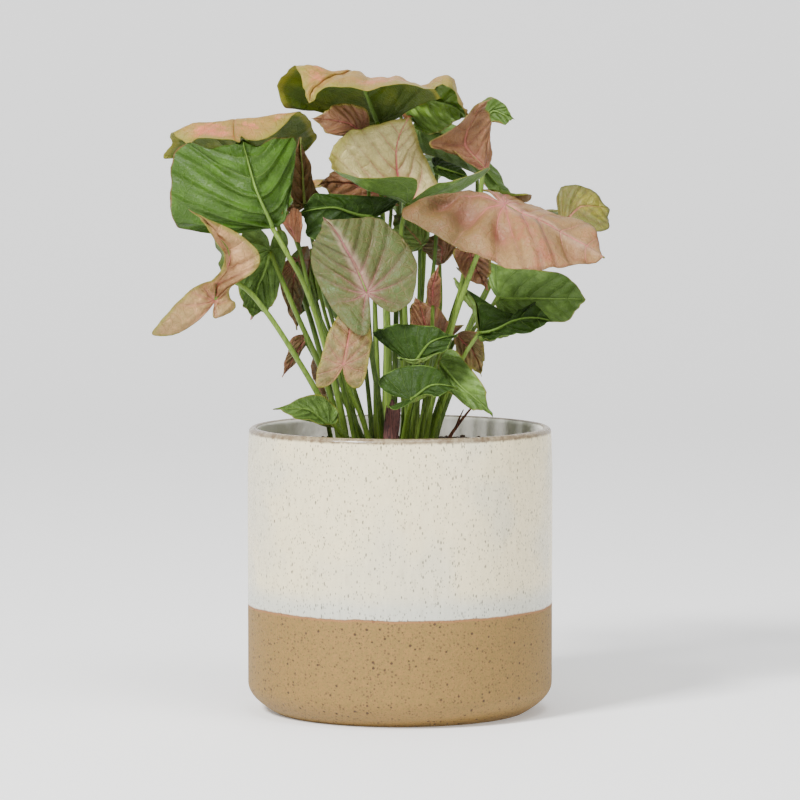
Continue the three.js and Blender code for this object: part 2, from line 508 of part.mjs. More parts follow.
// A dry papery sheath left at the base of the stems: a flattened sleeve that widens above its foot.
const SHEATH = {
  foot: [-5, -34], footRadius: 2, radius: 3.7, swell: 0.7 * Math.PI, flatten: 0.5, height: 33, lean: 2,
  sides: 8, steps: 5,
};

function addSheath() {
  const { foot, footRadius, radius, swell, flatten, height, lean, sides, steps } = SHEATH;
  const shape = new THREE.CylinderGeometry(1, 1, height, sides, steps);
  shape.rotateX(Math.PI / 2);
  shape.translate(0, 0, height / 2);
  const position = shape.attributes.position;
  for (let i = 0; i < position.count; i++) {
    const z = position.getZ(i);
    const rise = z / height;
    const reach = footRadius + (radius - footRadius) * Math.sin(swell * rise);
    position.setXYZ(i, foot[0] + position.getX(i) * reach + lean * rise * rise,
      foot[1] + position.getY(i) * reach * flatten, PETIOLE_FOOT + z);
  }
  addMesh('basal_sheath', toGeometry(toManifold(shape)), { color: 0x8c5a48, roughness: 0.8 });
  const hole = new THREE.CylinderGeometry(radius + HOLE_GAP, radius + HOLE_GAP, height, sides);
  hole.rotateX(Math.PI / 2);
  hole.translate(foot[0], foot[1], PETIOLE_FOOT - HOLE_DEEPER + height / 2);
  holes.push(hole);
}

// A dry forked stub at the right of the stems.
const TWIG = {
  radius: 1.1,
  stem: [[24, 22, 122], [24, 22, 131], [29, 23, 139], [37, 24, 149]],
  spurRadius: 0.8,
  spur: [[27.5, 22.8, 136.5], [29, 21.6, 141], [31.5, 21, 146.5]],
  steps: 6,
};

function addTwig() {
  const stem = toManifold(stalkGeometry(TWIG.stem, TWIG.radius, TWIG.steps));
  const spur = toManifold(stalkGeometry(TWIG.spur, TWIG.spurRadius, TWIG.steps / 2));
  addMesh('dry_twig', toGeometry(stem.add(spur)), { color: 0x6d4632, roughness: 0.9 });
  holes.push(stalkHole(TWIG.stem, TWIG.radius, TWIG.steps));
}

function addPot() {
  const point = (x, y) => new THREE.Vector2(x, y);
  const corner = new THREE.QuadraticBezierCurve(
    point(POT_FOOT_RADIUS, 0),
    point(POT_RADIUS, POT_CORNER_HEIGHT / 2),
    point(POT_RADIUS, POT_CORNER_HEIGHT),
  );
  const lip = POT_WALL / 2;
  const rim = new THREE.EllipseCurve(POT_RIM_RADIUS - lip, POT_HEIGHT - lip, lip, lip, 0, Math.PI);
  const profile = [
    point(0, 0),
    ...corner.getPoints(CORNER_STEPS),
    point(POT_RADIUS, POT_HEIGHT - POT_RIM_EASE),
    ...rim.getPoints(CORNER_STEPS),
    point(POT_RIM_RADIUS - POT_WALL, POT_FLOOR),
    point(0, POT_FLOOR),
  ];
  const shape = new THREE.LatheGeometry(profile, POT_SIDES);
  shape.rotateX(Math.PI / 2);
  addMesh('planter', toGeometry(toManifold(shape)), { color: 0xd8d5cb, roughness: 0.4 });
}

function addSoil() {
  const radius = POT_RIM_RADIUS - POT_WALL - SOIL_GAP;
  const bottom = POT_FLOOR + SOIL_GAP;
  const point = (x, y) => new THREE.Vector2(x, y);
  const shape = new THREE.LatheGeometry(
    [point(0, bottom), point(radius, bottom), point(radius, SOIL_TOP), point(0, SOIL_TOP)], POT_SIDES);
  shape.rotateX(Math.PI / 2);
  let soil = toManifold(shape);
  for (const hole of holes) soil = soil.subtract(toManifold(hole));
  addMesh('soil', toGeometry(soil), { color: 0x2c221b, roughness: 0.95 });
}

LEAVES.forEach(addLeaf);
PLAIN_LEAVES.map(placePlainLeaf).forEach(addLeaf);
addSheath();
addTwig();
addPot();
addSoil();

export default group;
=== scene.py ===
"""A pink arrowhead plant in a two-tone ceramic planter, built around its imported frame.

Every leaf is laid in space by the control points of its row, in millimetres, as the frame's own solid is, and
then gets its fine margin, its thickness, its quilting, its midrib and its stalk.
"""
import json
import math
import random

import bmesh
import bpy
import numpy as np
from mathutils import Matrix, Quaternion, Vector, noise


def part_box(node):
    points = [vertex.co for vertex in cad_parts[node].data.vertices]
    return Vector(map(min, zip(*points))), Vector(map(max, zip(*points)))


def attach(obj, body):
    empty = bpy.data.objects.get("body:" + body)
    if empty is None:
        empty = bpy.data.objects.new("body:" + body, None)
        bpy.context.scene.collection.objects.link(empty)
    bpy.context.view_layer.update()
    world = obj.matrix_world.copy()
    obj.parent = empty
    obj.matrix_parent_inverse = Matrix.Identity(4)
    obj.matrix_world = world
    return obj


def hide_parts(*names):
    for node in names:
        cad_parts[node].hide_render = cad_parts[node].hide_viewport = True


bl_info = {
    "name": "Potted Arrowhead Plant",
    "version": (1, 0, 0),
    "blender": (4, 5, 0),
    "location": "View3D > Sidebar > Arrowhead",
    "description": "Builds a pink arrowhead plant standing in a two-tone ceramic planter",
    "category": "Add Mesh",
}

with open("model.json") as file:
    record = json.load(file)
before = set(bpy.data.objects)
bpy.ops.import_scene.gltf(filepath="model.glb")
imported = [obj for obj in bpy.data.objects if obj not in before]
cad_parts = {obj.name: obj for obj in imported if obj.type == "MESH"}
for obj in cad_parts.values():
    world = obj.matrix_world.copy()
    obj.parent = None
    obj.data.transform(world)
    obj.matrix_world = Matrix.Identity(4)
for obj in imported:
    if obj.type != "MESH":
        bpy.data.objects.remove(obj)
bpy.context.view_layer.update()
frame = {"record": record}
POT_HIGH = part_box("planter")[1]
SOIL_LOW, SOIL_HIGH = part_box("soil")

MM = 0.001


# ---------------------------------------------------------------- settings


def linear(value):
    """A display value of 0 to 255 as the linear value that a shader takes, by the sRGB curve."""
    share = value / 255
    return share / 12.92 if share <= 0.04045 else ((share + 0.055) / 1.055) ** 2.4


def tone(name, description, *display):
    """A colour by its red, green and blue display values."""
    shares = [linear(value) for value in display]
    return bpy.props.FloatVectorProperty(
        name=name, description=description, default=shares, subtype="COLOR", size=3, min=0, max=1
    )


def number(name, description, default, **limits):
    limits = {"min": 0, **limits}
    return bpy.props.FloatProperty(name=name, description=description, default=default, **limits)


def length(name, description, default_mm):
    return number(name, description, default_mm * MM, subtype="DISTANCE", unit="LENGTH")


class PlanterSettings(bpy.types.PropertyGroup):
    radius: length("Radius", "Outer radius of the wall", POT_HIGH.x / MM)
    height: length("Height", "Height of the rim", POT_HIGH.z / MM)
    foot_radius: length("Foot radius", "Radius of the flat underside", 62.3)
    corner: length("Corner", "Height of the rounded lower corner", 14)
    rim_radius: length("Rim radius", "Outer radius just under the rim", 74.4)
    wall: length("Wall", "Thickness of the wall", 4.9)
    floor: length("Floor", "Thickness of the floor", 8)
    glaze_line: length("Glaze line", "Height where the glaze ends above bare clay", 53)
    glaze: tone("Glaze", "Grey-cream glaze", 235, 221, 180)
    glaze_thin: tone("Thin glaze", "Bluish white where the glaze ends", 199, 200, 186)
    # The inner wall's glaze is painted whiter: painted light over the shade inside the planter.
    inner_glaze_painted_light: tone("Glaze inside", "White glaze of the inner wall", 252, 250, 242)
    glaze_speck: tone("Glaze speck", "Iron specks that bleed through the glaze", 70, 70, 60)
    rim: tone("Rim", "Clay that shows where the glaze breaks on the rim", 96, 76, 54)
    clay: tone("Clay", "Bare fired clay", 124, 100, 44)
    clay_edge: tone("Clay edge", "Toasted line under the end of the glaze", 152, 98, 60)
    clay_speck: tone("Clay speck", "Dark grains in the clay", 60, 36, 18)


class CompostSettings(bpy.types.PropertyGroup):
    crumbs: bpy.props.IntProperty(name="Crumbs", description="Crumbs on the surface", default=420, min=0)
    crumb_size: length("Crumb size", "Radius of a middling crumb", 1.5)
    relief: length("Relief", "Height of the surface's lumps", 1.6)
    dark: tone("Dark", "Damp compost", 30, 22, 17)
    light: tone("Light", "Dry fibres and bark in the compost", 74, 52, 36)


class FoliageSettings(bpy.types.PropertyGroup):
    thickness: length("Blade", "Thickness of a blade", 0.5)
    quilting: number("Quilting", "Rise between two side veins, as a share of their spacing", 0.16, max=0.3)
    swelling: number("Swelling", "Uneven swell of the blade, as a share of the leaf's size", 0.03, max=0.1)
    waving: number("Waving", "Wave of the margin, as a share of the leaf's size", 0.014, max=0.1)
    salmon: tone("Salmon", "Grown pink leaf", 188, 104, 76)
    blush: tone("Blush", "Grown leaf that blushes pink", 142, 86, 60)
    rose_tan: tone("Rose tan", "Tan pink leaf", 140, 116, 68)
    cream: tone("Cream", "Cream leaf", 196, 184, 130)
    shell: tone("Shell pink", "Pale pink leaf with a curled tip", 182, 138, 92)
    sage: tone("Sage", "Sage green leaf", 68, 88, 40)
    moss: tone("Moss", "Green clouds on the paler leaves", 78, 83, 38)
    olive_cream: tone("Olive cream", "Pale olive leaf", 124, 121, 36)
    copper: tone("Copper", "Young brown leaf", 112, 78, 46)
    copper_pink: tone("Copper pink", "Young pink-brown leaf", 122, 88, 54)
    copper_rose: tone("Copper rose", "Lighter young pink leaf", 166, 110, 72)
    vein_pink: tone("Pink vein", "Veins on the upper side", 190, 98, 100)
    # Mauve is the sage leaves' own vein colour, and also painted shade in the hollows of the dents.
    mauve_vein_and_dent_shade: tone("Mauve", "Veins of the sage green leaves, and the hollow of a crease", 146, 72, 86)
    glow: tone("Glow", "Pale pink on both sides of the midrib", 206, 168, 148)
    vein_pale: tone("Pale vein", "Veins on the underside", 104, 134, 54)
    fresh: tone("Fresh green", "Underside of a grown leaf", 106, 138, 58)
    satin: tone("Satin green", "Deeply creased underside", 66, 100, 26)
    bright: tone("Bright green", "Glossy underside", 112, 144, 46)
    dark: tone("Dark green", "Underside in the middle of the plant", 42, 66, 12)
    deep: tone("Deep green", "Shaded glossy underside", 25, 46, 6)
    olive: tone("Olive", "Underside of a pink leaf", 84, 94, 12)
    bronze: tone("Bronze", "Underside of a young leaf", 90, 72, 34)
    stalk: tone("Stalk", "Fresh green stalk", 62, 88, 24)
    stalk_pale: tone("Stalk ribs", "Paler lines along a stalk", 108, 132, 50)


class DryPartSettings(bpy.types.PropertyGroup):
    sheath: tone("Sheath", "Dry papery sheath", 112, 68, 60)
    sheath_dark: tone("Sheath veins", "Darker lines along the sheath", 56, 34, 34)
    twig: tone("Twig", "Dry stub", 128, 78, 52)
    twig_dark: tone("Twig bark", "Dark bark of the stub", 60, 38, 28)


class StageSettings(bpy.types.PropertyGroup):
    floor: tone("Floor", "Plain pale floor and backdrop", 250, 250, 250)
    camera_distance: length("Camera distance", "From the origin to the camera, level", 2260)
    camera_height: length("Camera height", "Height of the camera", 332)
    camera_pitch: number("Camera pitch", "Slope of the view below level", math.radians(4.53), subtype="ANGLE")
    lens: number("Lens", "Focal length in millimetres", 207.45, min=1)
    key_power: number("Key light", "Power of the key light", 150)
    fill_power: number("Fill light", "Power of the fill light", 26)
    top_power: number("Top light", "Power of the top light", 22)
    sky: number("Sky", "Strength of the even light", 0.4)


def settings(group):
    """The current sizes and colours of one group of pieces."""
    return getattr(bpy.context.scene, "arrowhead_" + group)


# ---------------------------------------------------------------- shader maths


class Value:
    """A socket in a shader. Arithmetic on it adds Math nodes."""

    def __init__(self, shader, socket):
        self.shader = shader
        self.socket = socket

    def math(self, operation, *others):
        return self.shader.node("ShaderNodeMath", {"operation": operation}, dict(enumerate((self, *others))))

    def __add__(self, other):
        return self.math("ADD", other)

    def __sub__(self, other):
        return self.math("SUBTRACT", other)

    def __mul__(self, other):
        return self.math("MULTIPLY", other)

    def __truediv__(self, other):
        return self.math("DIVIDE", other)

    def __rsub__(self, other):
        return (self * -1) + other

    __radd__ = __add__
    __rmul__ = __mul__

    def __abs__(self):
        return self.math("ABSOLUTE")

    def larger(self, other):
        return self.math("MAXIMUM", other)

    def smaller(self, other):
        return self.math("MINIMUM", other)

    def to_nearest_whole(self):
        """How far the value is from the nearest whole number, 0 to 0.5."""
        return 0.5 - abs(self.math("FRACT") - 0.5)

    def fade(self, start, end):
        """1 at start and beyond, falling smoothly to 0 at end."""
        return self.shader.node(
            "ShaderNodeMapRange",
            {"interpolation_type": "SMOOTHSTEP"},
            {"Value": self, "From Min": end, "From Max": start, "To Min": 0.0, "To Max": 1.0},
        )


class Shader:
    """A new material and the nodes that are added to it. Textures are scaled by the millimetre."""

    def __init__(self, name, **constants):
        self.material = bpy.data.materials.new(name)
        self.material.use_nodes = True
        self.tree = self.material.node_tree
        self.surface = self.tree.nodes["Principled BSDF"]
        for socket, value in constants.items():
            self.surface.inputs[socket.replace("_", " ")].default_value = value

    def node(self, kind, options=None, sockets=None, output=0):
        made = self.tree.nodes.new(kind)
        for option, value in (options or {}).items():
            setattr(made, option, value)
        for socket, value in (sockets or {}).items():
            self.feed(made.inputs[socket], value)
        return Value(self, made.outputs[output])

    def feed(self, socket, value):
        if isinstance(value, Value):
            self.tree.links.new(value.socket, socket)
        elif hasattr(value, "__len__") and len(value) == 3 and socket.type == "RGBA":
            socket.default_value = (*value, 1)
        else:
            socket.default_value = value

    def attribute(self, name, output="Fac"):
        return self.node("ShaderNodeAttribute", {"attribute_name": name}, output=output)

    def place(self, x=1, y=1, z=1):
        """The object's own coordinates in millimetres, times a factor for each axis."""
        return self.scaled(self.node("ShaderNodeTexCoord", output="Object"), x / MM, y / MM, z / MM)

    def scaled(self, vector, *factors):
        return self.node("ShaderNodeVectorMath", {"operation": "MULTIPLY"}, {0: vector, 1: factors})

    def length(self, vector):
        return self.node("ShaderNodeVectorMath", {"operation": "LENGTH"}, {0: vector}, output="Value")

    def part(self, vector, axis):
        return self.node("ShaderNodeSeparateXYZ", sockets={0: vector}, output=axis)

    def noise(self, vector, scale, detail=3.0, roughness=0.55):
        sockets = {"Vector": vector, "Scale": scale, "Detail": detail, "Roughness": roughness}
        return self.node("ShaderNodeTexNoise", sockets=sockets)

    def cells(self, vector, scale, output, feature="F1"):
        sockets = {"Vector": vector, "Scale": scale}
        return self.node("ShaderNodeTexVoronoi", {"feature": feature}, sockets, output)

    def specks(self, scale, reach, share, upright=1):
        """Dots, one to a cell, in a share of the cells of the given scale.

        reach is the largest dot's radius in cells, and upright under 1 draws the dots out upwards.
        """
        where = self.place(z=upright)
        kind = self.part(self.cells(where, scale, "Color"), 0)
        size = kind.fade(share, 0) * reach + 0.0001
        return (self.cells(where, scale, "Distance") / size).fade(0.55, 1.0) * kind.fade(share * 0.97, share)

    def mix(self, factor, first, second, blend="MIX"):
        options = {"data_type": "RGBA", "blend_type": blend}
        return self.node("ShaderNodeMix", options, {0: factor, 6: first, 7: second}, output=2)

    def coated(self, ground, *coats):
        """The ground colour under coats of (mask, colour), the last one on top."""
        for mask, colour in coats:
            ground = self.mix(mask, ground, colour)
        return ground

    def shaded(self, colour, shade):
        grey = self.node("ShaderNodeCombineColor", sockets={0: shade, 1: shade, 2: shade})
        return self.mix(1.0, colour, grey, "MULTIPLY")

    def bump(self, height_mm):
        normal = self.node("ShaderNodeBump", sockets={"Distance": MM, "Height": height_mm})
        self.feed(self.surface.inputs["Normal"], normal)

    def finish(self, colour, roughness):
        self.feed(self.surface.inputs["Base Color"], colour)
        self.feed(self.surface.inputs["Roughness"], roughness)
        return self.material


# ---------------------------------------------------------------- making pieces

STEPS_BETWEEN_POINTS = 24
FAR_FROM_MARGIN = 60
FLARE_LENGTH = 20
TINY = 1e-9
WELD = 1e-3


def object_from(bm, name, materials):
    """A smooth shaded object of the bmesh, in the scene."""
    mesh = bpy.data.meshes.new(name)
    bm.to_mesh(mesh)
    bm.free()
    for material in materials:
        mesh.materials.append(material)
    mesh.shade_smooth()
    made = bpy.data.objects.new(name, mesh)
    bpy.context.scene.collection.objects.link(made)
    return made


def piece_from(bm, name, materials, node):
    """A finished object of the bmesh, in millimetres, that rides on the frame in place of its node."""
    bmesh.ops.scale(bm, vec=(MM, MM, MM), verts=bm.verts)
    piece = object_from(bm, name, materials)
    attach(piece, "root")
    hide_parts(node)


def chain(bm, points):
    """Vertices at the points, and the edges that join them one by one."""
    verts = [bm.verts.new(point) for point in points]
    return verts, [bm.edges.new(pair) for pair in zip(verts, verts[1:])]


def smooth_path(points, stations):
    """Evenly spaced stations on the centripetal Catmull-Rom curve through the points."""
    knots = [np.array(point, float) for point in points]
    knots = [2 * knots[0] - knots[1], *knots, 2 * knots[-1] - knots[-2]]
    fine = []
    for before, start, end, after in zip(knots, knots[1:], knots[2:], knots[3:]):
        first, middle, last = (
            max(np.linalg.norm(b - a), TINY) ** 0.5 for a, b in ((before, start), (start, end), (end, after))
        )
        leave = (start - before) / first - (end - before) / (first + middle) + (end - start) / middle
        arrive = (end - start) / middle - (after - start) / (middle + last) + (after - end) / last
        leave, arrive = leave * middle, arrive * middle
        for t in np.linspace(0, 1, STEPS_BETWEEN_POINTS, endpoint=False):
            cubic = 2 * start - 2 * end + leave + arrive
            square = -3 * start + 3 * end - 2 * leave - arrive
            fine.append(start + leave * t + square * t**2 + cubic * t**3)
    fine = np.array([*fine, knots[-2]])
    travelled = distances(fine)
    wanted = np.linspace(0, travelled[-1], stations)
    return np.stack([np.interp(wanted, travelled, fine[:, axis]) for axis in range(3)], axis=1)


def distances(points):
    """How far each point lies along the line through them all."""
    return np.concatenate([[0], np.cumsum(np.linalg.norm(np.diff(points, axis=0), axis=1))])


def extruded(bm, edges):
    """The new vertices of a strip that is extruded from the edges, still in their old place."""
    strip = bmesh.ops.extrude_edge_only(bm, edges=edges)["geom"]
    return [item for item in strip if isinstance(item, bmesh.types.BMVert)]


def add_tube(bm, stations, radii, sides, seed, material=0):
    """A round tube with closed ends along the stations, from a cone that is cut along its length.

    Its flat layer holds how far along it is, in hundredths, the turn about it in radians, and the seed.
    """
    raised = Matrix.Translation((0, 0, 0.5))
    made = bmesh.ops.create_cone(
        bm, cap_ends=True, segments=sides, radius1=1, radius2=1, depth=1, matrix=raised
    )
    sides_of_cone = {edge for vert in made["verts"] for edge in vert.link_edges}
    along = [edge for edge in sides_of_cone if abs(edge.verts[0].co.z - edge.verts[1].co.z) > 0.5]
    cut = bmesh.ops.subdivide_edges(bm, edges=along, cuts=len(stations) - 2)
    inner = [item for item in cut["geom_inner"] if isinstance(item, bmesh.types.BMVert)]
    verts = {vert for middle in inner for edge in middle.link_edges for vert in edge.verts}
    flat = bm.verts.layers.float_vector["flat"]
    rim = bm.verts.layers.float["rim"]
    heading, turn = Vector((0, 0, 1)), Quaternion()
    frames = []
    for tangent in map(Vector, np.gradient(stations, axis=0)):
        turn = heading.rotation_difference(tangent) @ turn
        heading = tangent
        frames.append(turn)
    last = len(stations) - 1
    for vert in verts:
        station = round(vert.co.z * last)
        vert[flat] = (station / last * 100, math.atan2(vert.co.y, vert.co.x), seed)
        vert[rim] = FAR_FROM_MARGIN
        offset = frames[station] @ Vector((vert.co.x, vert.co.y, 0)) * radii[station]
        vert.co = Vector(stations[station]) + offset
    for face in {face for vert in verts for face in vert.link_faces}:
        face.material_index = material


def tube_radii(stations, start, end, flare=0.0):
    """Radii that run from start to end and widen by flare at the foot."""
    travelled = distances(stations)
    return start + (end - start) * travelled / travelled[-1] + flare * np.exp(-travelled / FLARE_LENGTH)


# ---------------------------------------------------------------- the rows of leaves

